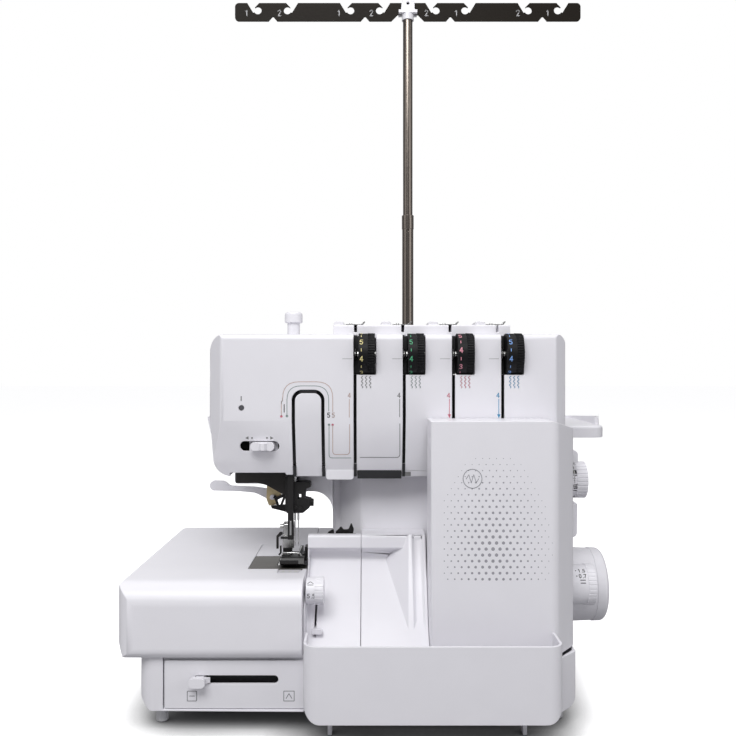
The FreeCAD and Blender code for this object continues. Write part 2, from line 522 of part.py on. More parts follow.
# ---- top, dials and small controls ---------------------------------------------------------
def top_guide_block():
    """The long block on the head's top with a bump and a groove for each thread."""
    base = prism_yz([(74, HEAD_TOP + 0.2), (74, 330.5, 1.5), (100, 330.5, 2), (100, HEAD_TOP + 0.2)], -31,
                    127)
    bumps = [prism_xz([(x - 19.5, 330), (x - 19.5, 333.8, 2), (x - 10.5, 333.8, 2), (x - 10.5, 330)], 76,
                      98)
             for x in SLOT_XS]
    grooves = [box(x - SLOT_W / 2, x + SLOT_W / 2, 70, 94, 324, 336) for x in SLOT_XS]
    return join(base, *bumps).cut(Part.makeCompound(grooves))


def wire_guides():
    """Four hooked steel thread guides lying over the grooves."""
    guides = []
    for x in SLOT_XS:
        strip = box(x - 9.0, x + 5.5, 80, 86, 330.6, 331.5)
        lip = prism_xz([(x + 5.0, 330.6), (x + 6.2, 330.6), (x + 8.6, 333.6), (x + 7.6, 334.2),
                        (x + 5.0, 331.5)], 80, 86)
        stud = rod((x - 4.5, 83, 331.4), (0, 0, 1), 1.4, 1.1)
        guides.append(join(strip, lip, stud))
    return guides


def tension_dial(index):
    """A numbered ring and a knurled grip side by side."""
    x = SLOT_XS[index] + 3.0
    grip = knurled((x + 8.0, DIAL_Y, DIAL_Z), DIAL_R, DIAL_W - 8.0, 48, 0.45)
    face = rod((x, DIAL_Y, DIAL_Z), (1, 0, 0), DIAL_R - 0.2, 8.0)
    return join(face, grip).cut(rod((x - 1, DIAL_Y, DIAL_Z), (1, 0, 0), 2.6, DIAL_W + 2))


def tension_unit(index):
    """A pair of tension discs and their spring on the dial's spindle, held by a small bracket."""
    x = SLOT_XS[index]
    spindle = rod((x - 7.5, DIAL_Y, DIAL_Z), (1, 0, 0), 2.5, 29.0)
    bracket = box(x + 19.4, x + 21.4, DIAL_Y - 3.5, DIAL_Y + 38, DIAL_Z - 4, DIAL_Z + 4)
    discs = [cone((x + 0.3 * way, DIAL_Y, DIAL_Z), (way, 0, 0), 4.9, 2.6, 1.4) for way in (-1, 1)]
    return join(spindle, bracket, *discs)


def pressure_screw():
    """The presser pressure knob on the head's top, on its threaded stem."""
    stem = rod((PRESSURE_X, PRESSER_Y, HEAD_TOP - 8), (0, 0, 1), 5.7, 24)
    cap = rod((PRESSURE_X, PRESSER_Y, 333), (0, 0, 1), 8.1, 10)
    cap = cap.makeFillet(3.0, [e for e in cap.Edges if e.CenterOfMass.z > 342.9])
    cap = cap.makeFillet(1.0, [e for e in cap.Edges if e.CenterOfMass.z < 333.1])
    return join(stem, cap)


def needle_switch():
    """The left and right needle selector, a pad with a finger ridge in its slot."""
    y = HEAD_FRONT + 6.2
    pad = prism_xz([(-101.2, 220.8, 3.5), (-80.6, 220.8, 3.5), (-80.6, 228.2, 3.5), (-101.2, 228.2, 3.5)],
                   y - 5.5, y + 6)
    ridge = prism_xy([(-94.0, y - 5.0), (-91.4, y - 9.5, 1.0), (-88.6, y - 9.5, 1.0), (-86.0, y - 5.0)],
                     221.4, 227.6)
    flange = box(-103.4, -78.4, y + 5.8, y + 7.6, 219, 230)
    return join(pad, ridge, flange.common(box(-106, -76, 0, 100, 210, 240)))


def status_lamp():
    """The small lens at the head's left, with its flange inside."""
    lens = rod((-108.5, HEAD_FRONT - 0.2, 257.8), (0, 1, 0), 2.2, 5)
    return join(lens, rod((-108.5, HEAD_FRONT + 3.0, 257.8), (0, 1, 0), 3.4, 2))


def thread_cutter():
    """The hooked blade holder on the head's left side, which a thread is pulled down behind."""
    outline = [(HEAD_LEFT + 0.1, 214), (-145.4, 247.4, 0.6), (-143.6, 248.6, 0.6), (HEAD_LEFT + 0.1, 232)]
    return prism_xz(outline, 84, 108)


# ---- presser and needle works --------------------------------------------------------------
def presser_lever():
    """The curved lifting handle behind the head, with its pivot pin."""
    px, pz = LEVER_PIVOT
    back = HEAD_BACK + 2.5
    handle = prism_xz([(-157.2, 170.2, 4.5), (-157.0, 180.2, 4.5), (-143, 179.4, 5), (-137, 174.8, 6),
                       (-112, 173.6, 20),
                       (px, pz + 5.8), (px, pz - 5.8), (-112, 168.0, 12),
                       (-128, 169.6, 20)], back, back + 6)
    hub = rod((px, back, pz), (0, 1, 0), 6.0, 6)
    return join(handle, hub, rod((px, 145.5, pz), (0, 1, 0), 2.5, back - 144.5))


def lever_bracket():
    """The yellow-passivated plate that the lifting handle turns on."""
    px, pz = LEVER_PIVOT
    plate = prism_xz([(px - 5.0, 186.5), (px - 6.0, 163.0, 2), (px - 3.5, 156.5, 1), (px + 4.2, 157.5, 1),
                      (px + 3.4, 163.0), (px + 9.0, 166.5, 1), (px + 6.0, 186.5)], 147.2, 149.2)
    return plate.cut(rod((px, 140, pz), (0, 1, 0), 2.55, 20))


def presser_bracket():
    """The grey steel plate that guides the presser bar, hanging below the head."""
    plate = prism_xz([(-119.5, 232), (-119.5, 188), (-100, 188, 10), (-92, 186.2, 10), (-77, 177.8, 2),
                      (-74.8, 177.8), (-74.8, 232)], 83, 85.4)
    guide = tube((PRESSER_X, PRESSER_Y, 203), (0, 0, 1), 5.6, PRESSER_R + 0.06, 18)
    return join(plate, guide, box(-76, -73.5, 83, 92, 205, 219))


def presser_bar():
    """The bar that carries the presser foot up through the head."""
    return rod((PRESSER_X, PRESSER_Y, 141), (0, 0, 1), PRESSER_R, 165)


def foot_holder():
    """The ankle clamped on the presser bar, with its screw and release lever."""
    body = soften(box(-77.0, -66.6, 85, 96, 139.5, 151), 1.5, lambda c: c.y < 85.1)
    ankle = box(-77.6, -67.2, 85.5, 93, 128.8, 141)
    screw = rod((-80.4, 90.5, 147.5), (1, 0, 0), 2.2, 4.0)
    lever = prism_xz([(-79.6, 143), (-77.5, 143), (-77.5, 141), (-81.2, 138.6), (-81.2, 128.6),
                      (-82.8, 128.6),
                      (-82.8, 139.4)], 86, 89)
    holder = join(body, ankle, screw, lever)
    return holder.cut(rod((PRESSER_X, PRESSER_Y, 141), (0, 0, 1), PRESSER_R, 30))


def presser_foot():
    """The serger foot: a long sole with a turned-up toe, a hinge block and a guide rail."""
    sole = prism_yz([(52, 122.5), (56, 120.1, 1), (97, 120.1, 1), (97, 123.2), (58, 123.2, 3),
                     (52.5, 125.5)], -76.5, -60.4)
    toe = prism_yz([(52, 122.5), (56, 120.1, 1), (63.5, 120.1), (63.5, 127.5, 2), (55, 127.5, 2)], -75.5,
                   -55.6)
    window = box(-67.2, -59.8, NEEDLE_Y - 3.5, NEEDLE_Y + 3.5, 110, 130)
    block = box(-75.5, -68.4, 60, 69, 122.5, 128.4)
    rail = prism_yz([(60, 122.5), (61, 129.4, 2), (95, 129.4, 2), (97, 122.5)], -61.6, -59.0)
    pin_block = box(-77.0, -69.0, 85.2, 93, 123, 128.7)
    return join(sole, toe, block, pin_block, rail).cut(window)


def needle_bar():
    """The steel bar that drives the needles."""
    return rod((NEEDLE_BAR_X, NEEDLE_Y, 178), (0, 0, 1), NEEDLE_BAR_R, 118)


def needle_clamp():
    """The blackened clamp block with its two grub screws and the knurled guide screw at the right."""
    block = prism_xz([(-73.4, 195.5, 1), (-69, 195.5, 1), (-68.4, 190.8), (-51.2, 190.8, 2),
                      (-50.8, 186.4, 1), (-55.2, 184.8, 2), (-56.0, 176.6, 1), (-50.6, 175.4, 1),
                      (-51.5, 168.4, 3), (-57.6, 163.4, 3), (-72.2, 163.4, 1), (-73.4, 168, 2)], 69, 82)
    block = block.cut(rod((NEEDLE_BAR_X, NEEDLE_Y, 178), (0, 0, 1), NEEDLE_BAR_R, 20))
    for x in NEEDLE_XS:
        block = block.cut(rod((x, NEEDLE_Y, 160), (0, 0, 1), 1.0, 14))
    block = block.cut(box(-62.0, -59.2, 60, 90, 175.6, 180.2))
    grubs = [rod((x, 67.2, z), (0, 1, 0), 1.8, 3) for x, z in ((-64.6, 168.6), (-60.0, 167.4))]
    knob = knurled((-52.0, 75.5, 172), 3.4, 3.4, 16, 0.35)
    return join(block, knob, *grubs)


def needles():
    """Two needles side by side, each with a shank, a blade and a point."""
    made = []
    for x in NEEDLE_XS:
        shank = rod((x, NEEDLE_Y, 156), (0, 0, 1), 1.0, 18)
        blade = rod((x, NEEDLE_Y, 138), (0, 0, 1), 0.55, 18)
        point = cone((x, NEEDLE_Y, 138), (0, 0, -1), 0.55, 0.08, 5)
        made.append(join(shank, blade, point))
    return made


def needle_threader():
    """A slim hanging bar with a hook that swings to the needle's eye."""
    bar = join(box(-70.6, -65.6, 63.4, 66.2, 141, 202), rod((-68.1, 64.8, 200), (0, 0, 1), 1.4, 20))
    hook = box(-77, -70, 64.0, 65.2, 141.5, 143.5)
    return join(bar, hook)


def upper_knife():
    """The moving knife at the right of the needles, on an arm whose hooked end shows over the guard."""
    blade = box(-57.6, -56.2, 66, 78, 112, 128)
    clamp = box(-56.2, -54.4, 70, 82, 121, 133)
    arm = prism_xz([(-56, 123, 1), (-11, 123, 1), (-11, 143), (-37, 143), (-37, 134, 2), (-56, 133, 1)],
                   78, 82)
    tongue = box(-36.0, -11.5, 74, 80, 139, 143)
    hook = prism_xz([(-29.0, 142), (-28.8, 145.8, 0.5), (-25.8, 148.6, 0.8), (-24.8, 150.0, 0.8),
                     (-23.4, 149.8, 0.8), (-22.0, 147.6, 1.5), (-17.4, 147.8, 2), (-15.4, 152.8, 0.3),
                     (-14.6, 152.8, 0.3), (-12.6, 148.0, 2), (-13.8, 142)], 74, 77)
    wedge = prism_xz([(-35.8, 142), (-35.8, 145.2), (-31.8, 147.8, 0.5), (-30.6, 147.4, 0.3),
                      (-30.0, 142)], 74, 77)
    return join(blade, clamp, arm, tongue, hook, wedge)


# ---- drive ---------------------------------------------------------------------------------
def main_shaft():
    """The upper drive shaft with its cams and the belt pulley."""
    shaft = rod((-96, SHAFT_Y, SHAFT_Z), (1, 0, 0), SHAFT_R, BODY_RIGHT + 18 + 96)
    cams = [rod((x, SHAFT_Y, SHAFT_Z), (1, 0, 0), r, 6) for x,
            r in ((-88, 12), (-74, 10), (-20, 13), (20, 12))]
    pulley = rod((128, SHAFT_Y, SHAFT_Z), (1, 0, 0), 21.0, 12)
    pulley = pulley.cut(tube((130, SHAFT_Y, SHAFT_Z), (1, 0, 0), 23.0, 19.2, 8))
    return join(shaft, pulley, *cams)


def motor():
    """The motor's round body on its foot."""
    body = rod((40, MOTOR_Y, MOTOR_Z), (1, 0, 0), MOTOR_R, 72)
    nose = rod((112, MOTOR_Y, MOTOR_Z), (1, 0, 0), 12, 4)
    foot = box(48, 104, MOTOR_Y - 18, MOTOR_Y + 18, FOOT_H + WALL + 0.1, MOTOR_Z - 20)
    return join(body, nose, foot).cut(rod((100, MOTOR_Y, MOTOR_Z), (1, 0, 0), 3.1, 20))


def motor_pulley():
    """The motor's own shaft and small pulley."""
    shaft = rod((103, MOTOR_Y, MOTOR_Z), (1, 0, 0), 3.0, 38)
    rim = rod((128, MOTOR_Y, MOTOR_Z), (1, 0, 0), 9.0, 12)
    return join(shaft, rim.cut(tube((130, MOTOR_Y, MOTOR_Z), (1, 0, 0), 12.0, 7.2, 8)))


def drive_belt():
    """A toothless belt with straight runs tangent to both pulleys."""
    dy, dz = MOTOR_Y - SHAFT_Y, MOTOR_Z - SHAFT_Z
    distance = math.hypot(dy, dz)
    heading = math.atan2(dz, dy)

    def loop(big, small):
        lean = math.asin((big - small) / distance)
        points = []
        for sign in (1, -1):
            a = heading + sign * (math.pi / 2 - lean)
            points.append((big, SHAFT_Y + big * math.cos(a), SHAFT_Z + big * math.sin(a)))
            points.append((small, MOTOR_Y + small * math.cos(a), MOTOR_Z + small * math.sin(a)))
        back = (SHAFT_Y - big * math.cos(heading), SHAFT_Z - big * math.sin(heading))
        front = (MOTOR_Y + small * math.cos(heading), MOTOR_Z + small * math.sin(heading))
        a0, a1, b0, b1 = (V(130.5, p[1], p[2]) for p in points)
        wire = Part.Wire([Part.makeLine(a0, a1), Part.Arc(a1, V(130.5, *front), b1).toShape(),
                          Part.makeLine(b1, b0), Part.Arc(b0, V(130.5, *back), a0).toShape()])
        return Part.Face(wire).extrude(V(7, 0, 0))
    return loop(20.9, 8.9).cut(loop(19.4, 7.4))


def frame_casting():
    """The die-cast frame: a floor plate, an upright web and the arm web that carries the head."""
    floor = box(-96, 36, 30, 148, FOOT_H + WALL + 0.2, 24)
    upright = box(4, 10, 92, 135, 24, 296)
    upright = upright.cut(rod((0, SHAFT_Y, SHAFT_Z), (1, 0, 0), SHAFT_R + 0.05, 20))
    arm = box(-50, 60, 128, 135, 205, 296)
    return join(floor, upright, arm)


def handwheel():
    """The domed wheel at the right, with a knurled rim and a dished end."""
    x0, width = BODY_RIGHT + 1.5, 46.8
    barrel = cone((x0, SHAFT_Y, SHAFT_Z), (1, 0, 0), WHEEL_R - 0.4, WHEEL_R - 1.8, width - 11)
    rim = knurled((x0 + width - 11, SHAFT_Y, SHAFT_Z), WHEEL_R, 11, 40, 0.8)
    dome = cone((x0, SHAFT_Y, SHAFT_Z), (1, 0, 0), WHEEL_R, WHEEL_R - 1.6, width)
    dome = soften(dome, 4.5, lambda c: c.x > x0 + width - 0.1)
    wheel = join(barrel, rim).common(dome)
    bore = rod((x0 - 1, SHAFT_Y, SHAFT_Z), (1, 0, 0), SHAFT_R, 18)
    dish = cone((x0 + width + 0.1, SHAFT_Y, SHAFT_Z), (-1, 0, 0), 24, 21, 3)
    return wheel.cut(bore).cut(dish)


def stitch_length_dial():
    """The upper side dial: a numbered ring, a grip and its spindle."""
    x, y, z = STITCH_DIAL
    ring = rod((x, y, z), (1, 0, 0), 15.8, 9.3)
    grip = knurled((x + 9.3, y, z), 16.4, 9.7, 28, 0.6)
    return join(ring, grip, rod((x - 9.5, y, z), (1, 0, 0), 3.2, 10))


def feed_dial():
    """The lower side dial: a wide numbered barrel, a grip and its spindle."""
    x, y, z = FEED_DIAL
    barrel = rod((x, y, z), (1, 0, 0), 17.2, 18.3)
    grip = knurled((x + 18.3, y, z), 17.9, 6.8, 30, 0.5)
    return join(barrel, grip, rod((x - 6, y, z), (1, 0, 0), 3.2, 7))


def width_dial():
    """The cutting width dial at the guard's left."""
    x, y, z = WIDTH_DIAL
    ring = rod((x, y, z), (1, 0, 0), 10.8, 7.2)
    grip = knurled((x + 7.2, y, z), 11.4, 7.2, 24, 0.45)
    return join(ring, grip)


def finger_lever():
    """A nub on a stem that slides in the slit down the chute."""
    y, z = 24.5, 75.0
    stem = box(-44.5, -43.5, y - 3, y + 6, z - 1, z + 1)
    nub = prism_xz([(-46.5, 73.2, 1.5), (-37.5, 73.2, 1.5), (-37.5, 77.2, 1.5), (-46.5, 77.2, 1.5)],
                   y - 8, y - 3)
    return join(stem, nub)


def power_switch():
    """The on and off rocker in the right side wall, with its pivot pin."""
    rocker = prism_xz([(169.5, 149, 1), (173.4, 150, 1), (175.2, 170, 1), (169.5, 171, 1)], 129, 143)
    return join(rocker, rod((169.5, 127.5, 160), (0, 1, 0), 1.6, 17))


def power_inlet():
    """Two-pin mains inlet in the rear right corner of the motor cover."""
    x = INLET_X
    shell = box(x - 9, x + 9, BED_BACK - 14, BED_BACK - WALL - 0.1, 70, 90)
    shell = shell.cut(box(x - 7, x + 7, BED_BACK - 12, BED_BACK + 5, 72, 88))
    pins = [rod((x + side * 3.5, BED_BACK - 12.5, 80), (0, 1, 0), 1.2, 8) for side in (-1, 1)]
    return join(shell, *pins)


# ---- spool stand and thread tree -----------------------------------------------------------
def spool_stand():
    """A shallow tray turned upside down, with a rim round its rear part that slopes to the back."""
    top = STAND_Z + STAND_T

    def solid(d, low, high):
        plan = [(STAND_LEFT + d, STAND_FRONT + d, 12), (STAND_RIGHT - d, STAND_FRONT + d, 12),
                (STAND_RIGHT - d, STAND_BACK - d, 24), (STAND_LEFT + d, STAND_BACK - d, 24)]
        return prism_xy(plan, low, high)

    def rounded_ends(low, high, low_radius):
        outline = [(STAND_LEFT, low, low_radius), (STAND_RIGHT, low, low_radius), (STAND_RIGHT, high, 4),
                   (STAND_LEFT, high, 4)]
        return prism_xz(outline, STAND_FRONT - 1, STAND_BACK + 1)
    tray = soften(solid(0, STAND_Z, top), 3, lambda c: c.z > top - 0.1 and c.y < STAND_FRONT + 0.1)
    tray = tray.common(rounded_ends(STAND_Z, top, 2)).cut(solid(WALL, STAND_Z - 1, top - WALL))
    rim = solid(0, top - 4.5, STAND_RIM).common(rounded_ends(STAND_Z - 9, STAND_RIM, 4))
    rim = rim.cut(solid(4, STAND_Z, STAND_RIM + 1)).cut(box(-300, 300, 100, 189, STAND_Z, STAND_RIM + 1))
    rim = rim.cut(prism_yz([(180, 243), (301, 236.2), (301, 260), (180, 260)], -300, 300))
    bracket = box(-20, 100, HEAD_BACK + 4.2, STAND_FRONT + 6, STAND_Z - 14, STAND_Z)
    arm = box(-20, 100, HEAD_BACK + 0.1, HEAD_BACK + 4.4, STAND_Z - 14, STAND_Z + 8)
    post = box(-20, 100, STAND_FRONT, STAND_FRONT + 6, STAND_Z - 14, STAND_Z + 8)
    socket = rod((POLE_X, POLE_Y, 196), (0, 0, 1), 10, top + 2 - 196)
    gusset = box(POLE_X - 3, POLE_X + 3, STAND_FRONT + 1, POLE_Y, STAND_Z - 14, top - 1)
    seats = [rod((x, SPOOL_Y, STAND_Z + 1), (0, 0, 1), 7.0, top + 3 - STAND_Z - 1) for x in SPOOL_XS]
    body = join(tray, rim, bracket, arm, post, gusset, socket, *seats)
    bores = [rod((x, SPOOL_Y, STAND_Z), (0, 0, 1), SPOOL_FOOT_R, 30) for x in SPOOL_XS]
    return body.cut(rod((POLE_X, POLE_Y, 200), (0, 0, 1), POLE_OUT_R, 60)).cut(Part.makeCompound(bores))


def spool_pins():
    """Four spool pins, each on a wider foot pressed in the stand."""
    pins = []
    for x in SPOOL_XS:
        foot = rod((x, SPOOL_Y, STAND_Z + 1.0), (0, 0, 1), SPOOL_FOOT_R, STAND_T + 2)
        pin = rod((x, SPOOL_Y, STAND_Z + STAND_T), (0, 0, 1), SPOOL_PIN_R, SPOOL_PIN_H + 3)
        pin = soften(pin, 1.5, lambda c: c.z > STAND_Z + STAND_T + SPOOL_PIN_H)
        pins.append(join(foot, pin))
    return pins


def pole_lower():
    """The outer tube of the telescopic pole, with a collar and a detent hole."""
    outer = rod((POLE_X, POLE_Y, 200), (0, 0, 1), POLE_OUT_R, 235)
    collar = rod((POLE_X, POLE_Y, 435), (0, 0, 1), POLE_OUT_R + 0.35, COLLAR_TOP - 435)
    bore = rod((POLE_X, POLE_Y, 203), (0, 0, 1), POLE_IN_R + 0.06, 300)
    detent = rod((POLE_X, POLE_Y - 10, 433), (0, 1, 0), 1.3, 7)
    return join(outer, collar).cut(bore).cut(detent)


def pole_upper():
    """The inner rod of the telescopic pole."""
    return rod((POLE_X, POLE_Y, 412), (0, 0, 1), POLE_IN_R, POLE_TOP - 412)


def thread_tree():
    """The guide bar: four pairs of hooked thread notches and shallow Vs under them."""
    low, high = TREE_LOW, TREE_HIGH
    end = TREE_HALF
    outline = [(-end, low, 4), (-17, low), (-10.5, low + 6.5), (10.5, low + 6.5), (17, low),
               (end, low, 4), (end, high, 4), (-end, high, 4)]
    bar = prism_xz([(POLE_X + p[0], *p[1:]) for p in outline], POLE_Y - TREE_T / 2, POLE_Y + TREE_T / 2)
    cuts = []
    for centre, entry in ((154.5, 1), (124.0, -1), (59.0, 1), (29.0, -1)):
        for side in (1, -1):
            x, way = POLE_X + side * centre, side * entry
            pocket_z = high - 7.7
            cuts.append(rod((x, POLE_Y - 5, pocket_z), (0, 1, 0), 3.9, 10))
            mouth = [(x + way * 11.5, high + 1), (x - way * 2.4, high + 1), (x + way * 3.0, high - 4.6),
                     (x, pocket_z), (x + way * 3.6, pocket_z - 2.0), (x + way * 4.8, high - 10.0)]
            cuts.append(prism_xz(mouth, POLE_Y - 5, POLE_Y + 5))
    for centre in (139.0, 44.0):
        for side in (1, -1):
            x = POLE_X + side * centre
            cuts.append(prism_xz([(x - 5.4, low - 1), (x, low + 5.2, 1.2), (x + 5.4, low - 1)],
                                 POLE_Y - 5, POLE_Y + 5))
    return bar.cut(Part.makeCompound(cuts))


def tree_bracket():
    """The white moulded clip that holds the bar on the pole's top."""
    x = POLE_X
    tab = prism_xz([(x - 7.0, 659), (x - 6.6, 667, 2), (x - 2.6, 674, 2.5), (x + 2.6, 674, 2.5),
                    (x + 6.6, 667, 2),
                    (x + 7.0, 659)], POLE_Y - 4, POLE_Y + 4)
    flange = box(x - 9.5, x + 9.5, POLE_Y - 6, POLE_Y + 6, 656.2, 659.2)
    socket = tube((x, POLE_Y, 650), (0, 0, 1), 6.2, POLE_IN_R, 6.5)
    slot = box(x - 20, x + 20, POLE_Y - TREE_T / 2, POLE_Y + TREE_T / 2, TREE_LOW + 6.5, 668)
    hole = rod((x, POLE_Y - 10, 666.5), (0, 1, 0), 1.6, 20)
    cap = rod((x, POLE_Y, POLE_TOP), (0, 0, 1), 6.2, 1.5)
    return join(join(tab, flange, socket, cap).cut(slot).cut(hole))


NODES = [
    base_tray, front_lower_panel, slide_lever, feet, rear_bed_cover, bed_extension, arm_shell,
    needle_plate, feed_dogs, lower_looper, upper_looper, knife_guard, chute_wing, looper_cover,
    cover_hinge_pin, trim_bin, column_shell, rear_cover, head_cover, thread_channels, top_guide_block,
    wire_guides, pressure_screw, needle_switch, status_lamp, thread_cutter, presser_lever,
    lever_bracket, presser_bracket, presser_bar, foot_holder, presser_foot, needle_bar, needle_clamp,
    needles, needle_threader, upper_knife, main_shaft, motor, motor_pulley, drive_belt, frame_casting,
    handwheel, power_switch, power_inlet, stitch_length_dial, feed_dial, width_dial, finger_lever,
    spool_stand, spool_pins, pole_lower, pole_upper, thread_tree, tree_bracket,
]

for make in NODES:
    made = make()
    save(make.__name__, *(made if isinstance(made, list) else [made]))
for index in range(len(SLOT_XS)):
    save(f"tension_dial_{index + 1}", tension_dial(index))
save("tension_units", *(tension_unit(i) for i in range(len(SLOT_XS))))
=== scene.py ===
import json
import math
import bmesh
import bpy
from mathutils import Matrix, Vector


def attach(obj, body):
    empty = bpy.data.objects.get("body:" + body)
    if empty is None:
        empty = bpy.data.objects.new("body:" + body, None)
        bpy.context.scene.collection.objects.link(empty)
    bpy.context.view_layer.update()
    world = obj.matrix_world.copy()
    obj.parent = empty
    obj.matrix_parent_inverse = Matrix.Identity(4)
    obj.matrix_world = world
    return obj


# Serger overlock machine: finishes, softened edges, printed marks, floor, lights and camera.
# Sizes below are in millimetres from the layout datum on the head's centre line, as in the CAD
# source, and mm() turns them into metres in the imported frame.

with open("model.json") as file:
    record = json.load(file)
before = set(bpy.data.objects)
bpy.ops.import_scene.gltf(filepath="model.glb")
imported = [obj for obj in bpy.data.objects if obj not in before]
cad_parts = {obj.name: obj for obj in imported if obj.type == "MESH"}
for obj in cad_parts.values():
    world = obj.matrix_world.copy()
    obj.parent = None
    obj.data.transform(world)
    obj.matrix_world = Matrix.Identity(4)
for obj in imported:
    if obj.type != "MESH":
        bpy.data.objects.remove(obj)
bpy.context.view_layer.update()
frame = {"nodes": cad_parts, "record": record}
NODES = frame["nodes"]
BODY_OF = {n: b for b, members in frame["record"]["behaviour"]["bodies"].items() for n in members}
SLOT_OF = {s["node"]: s["material_slot"] for s in frame["record"]["subparts"]}
DATUM = Vector((-17.75, -134.0, 0.0))


def mm(x, y, z):
    return (Vector((x, y, z)) + DATUM) / 1000


# ---- camera -------------------------------------------------------------------------------
EYE = mm(0, -640, 292)
SENSOR = 36.0
camera_data = bpy.data.cameras.new("camera")
camera_data.sensor_width = SENSOR
camera_data.lens = SENSOR * 800 / 736
camera = bpy.data.objects.new("camera", camera_data)
camera.location = EYE
camera.rotation_euler = (math.pi / 2, 0, 0)
bpy.context.scene.collection.objects.link(camera)
bpy.context.scene.camera = camera


# ---- finishes -----------------------------------------------------------------------------
def finish(name, colour, rough, metallic=0.0, mottle=0.03, mottle_scale=30.0, grain_scale=900.0,
           relief=0.06, rough_spread=0.06, stretch=(1, 1, 1), coat=0.0, specular=0.5):
    """A shader whose colour, gloss and relief vary with noise at the scale of the real surface."""
    material = bpy.data.materials.new(name)
    material.use_nodes = True
    nodes, links = material.node_tree.nodes, material.node_tree.links
    shader = nodes["Principled BSDF"]
    shader.inputs["Metallic"].default_value = metallic
    shader.inputs["Specular IOR Level"].default_value = specular
    shader.inputs["Coat Weight"].default_value = coat
    shader.inputs["Coat Roughness"].default_value = 0.15
    place = nodes.new("ShaderNodeTexCoord")
    mapping = nodes.new("ShaderNodeMapping")
    mapping.inputs["Scale"].default_value = stretch
    links.new(place.outputs["Object"], mapping.inputs["Vector"])

    def noise(scale, detail):
        node = nodes.new("ShaderNodeTexNoise")
        node.inputs["Scale"].default_value = scale
        node.inputs["Detail"].default_value = detail
        links.new(mapping.outputs["Vector"], node.inputs["Vector"])
        return node.outputs["Fac"]

    broad = noise(mottle_scale, 3.0)
    fine = noise(grain_scale, 2.0)
    ramp = nodes.new("ShaderNodeValToRGB")
    ramp.color_ramp.elements[0].position = 0.25
    ramp.color_ramp.elements[1].position = 0.75
    ramp.color_ramp.elements[0].color = [c * (1 - mottle) for c in colour] + [1]
    ramp.color_ramp.elements[1].color = [min(1, c * (1 + mottle)) for c in colour] + [1]
    links.new(broad, ramp.inputs["Fac"])
    links.new(ramp.outputs["Color"], shader.inputs["Base Color"])
    gloss = nodes.new("ShaderNodeMapRange")
    gloss.inputs["To Min"].default_value = max(0.02, rough - rough_spread)
    gloss.inputs["To Max"].default_value = rough + rough_spread
    links.new(fine, gloss.inputs["Value"])
    links.new(gloss.outputs["Result"], shader.inputs["Roughness"])
    bump = nodes.new("ShaderNodeBump")
    bump.inputs["Strength"].default_value = relief
    bump.inputs["Distance"].default_value = 0.0003
    links.new(fine, bump.inputs["Height"])
    links.new(bump.outputs["Normal"], shader.inputs["Normal"])
    return material


WHITE = (0.80, 0.79, 0.83)
FINISHES = {
    "white_shell": finish("satin_white", WHITE, 0.38, mottle=0.012, relief=0.05, coat=0.05),
    "bin_white": finish("bin_white", (0.77, 0.76, 0.80), 0.36, mottle=0.015, relief=0.04, coat=0.05),
    "black_plastic": finish("black_plastic", (0.018, 0.018, 0.02), 0.42, mottle=0.2, relief=0.1),
    "grey_plastic": finish("grey_plastic", (0.62, 0.61, 0.64), 0.42, mottle=0.02, relief=0.06),
    "steel": finish("ground_steel", (0.62, 0.62, 0.61), 0.28, 1.0, mottle=0.08,
                    stretch=(1, 1, 0.06), relief=0.15),
    "dark_steel": finish("dark_steel", (0.14, 0.13, 0.116), 0.34, 1.0, mottle=0.15,
                         stretch=(0.08, 1, 1), relief=0.15),
    "blackened_steel": finish("blackened_steel", (0.016, 0.015, 0.015), 0.42, 0.3, mottle=0.3, relief=0.2),
    "chrome": finish("polished_steel", (0.78, 0.78, 0.77), 0.12, 1.0, mottle=0.03, relief=0.02,
                     rough_spread=0.03),
    "pole_metal": finish("dark_nickel_tube", (0.19, 0.165, 0.145), 0.22, 1.0, mottle=0.08,
                         stretch=(1, 1, 0.05), relief=0.1),
    "tree_metal": finish("dark_bronze_sheet", (0.011, 0.0075, 0.0045), 0.5, 0.0, mottle=0.25,
                         stretch=(0.15, 1, 1), relief=0.1, specular=0.12),
    "cast_metal": finish("die_cast", (0.42, 0.42, 0.43), 0.55, 0.9, mottle=0.1, relief=0.4,
                         grain_scale=400),
    "brass": finish("yellow_passivated", (0.60, 0.49, 0.29), 0.35, 0.9, mottle=0.18,
                    mottle_scale=120, relief=0.1),
    "rubber": finish("rubber", (0.60, 0.60, 0.62), 0.7, mottle=0.08, relief=0.3),
    "belt": finish("belt", (0.03, 0.03, 0.03), 0.7, mottle=0.2, relief=0.4),
    "lamp_lens": finish("smoked_lens", (0.09, 0.09, 0.10), 0.18, mottle=0.05, relief=0.02, coat=0.6),
    "dial_black": finish("dial_black", (0.005, 0.005, 0.006), 0.5, mottle=0.1, relief=0.06, specular=0.22),
}
INKS = {
    "black": (0.02, 0.02, 0.022),
    "grey": (0.20, 0.20, 0.20),
    "pale_grey": (0.45, 0.45, 0.46),
    "green": (0.28, 0.34, 0.33),
    "peach": (0.56, 0.42, 0.38),
    "pink": (0.62, 0.18, 0.24),
    "blue": (0.07, 0.30, 0.52),
    "yellow": (0.75, 0.66, 0.30),
    "dial_green": (0.08, 0.40, 0.20),
    "dial_pink": (0.75, 0.30, 0.38),
    "dial_blue": (0.20, 0.38, 0.78),
    "white": (0.62, 0.62, 0.58),
    "cover_grey": (0.33, 0.33, 0.36),
    "icon_grey": (0.16, 0.16, 0.17),
}
INK = {n: finish("ink_" + n, c, 0.5, mottle=0.08, mottle_scale=400, relief=0.03) for n, c in INKS.items()}

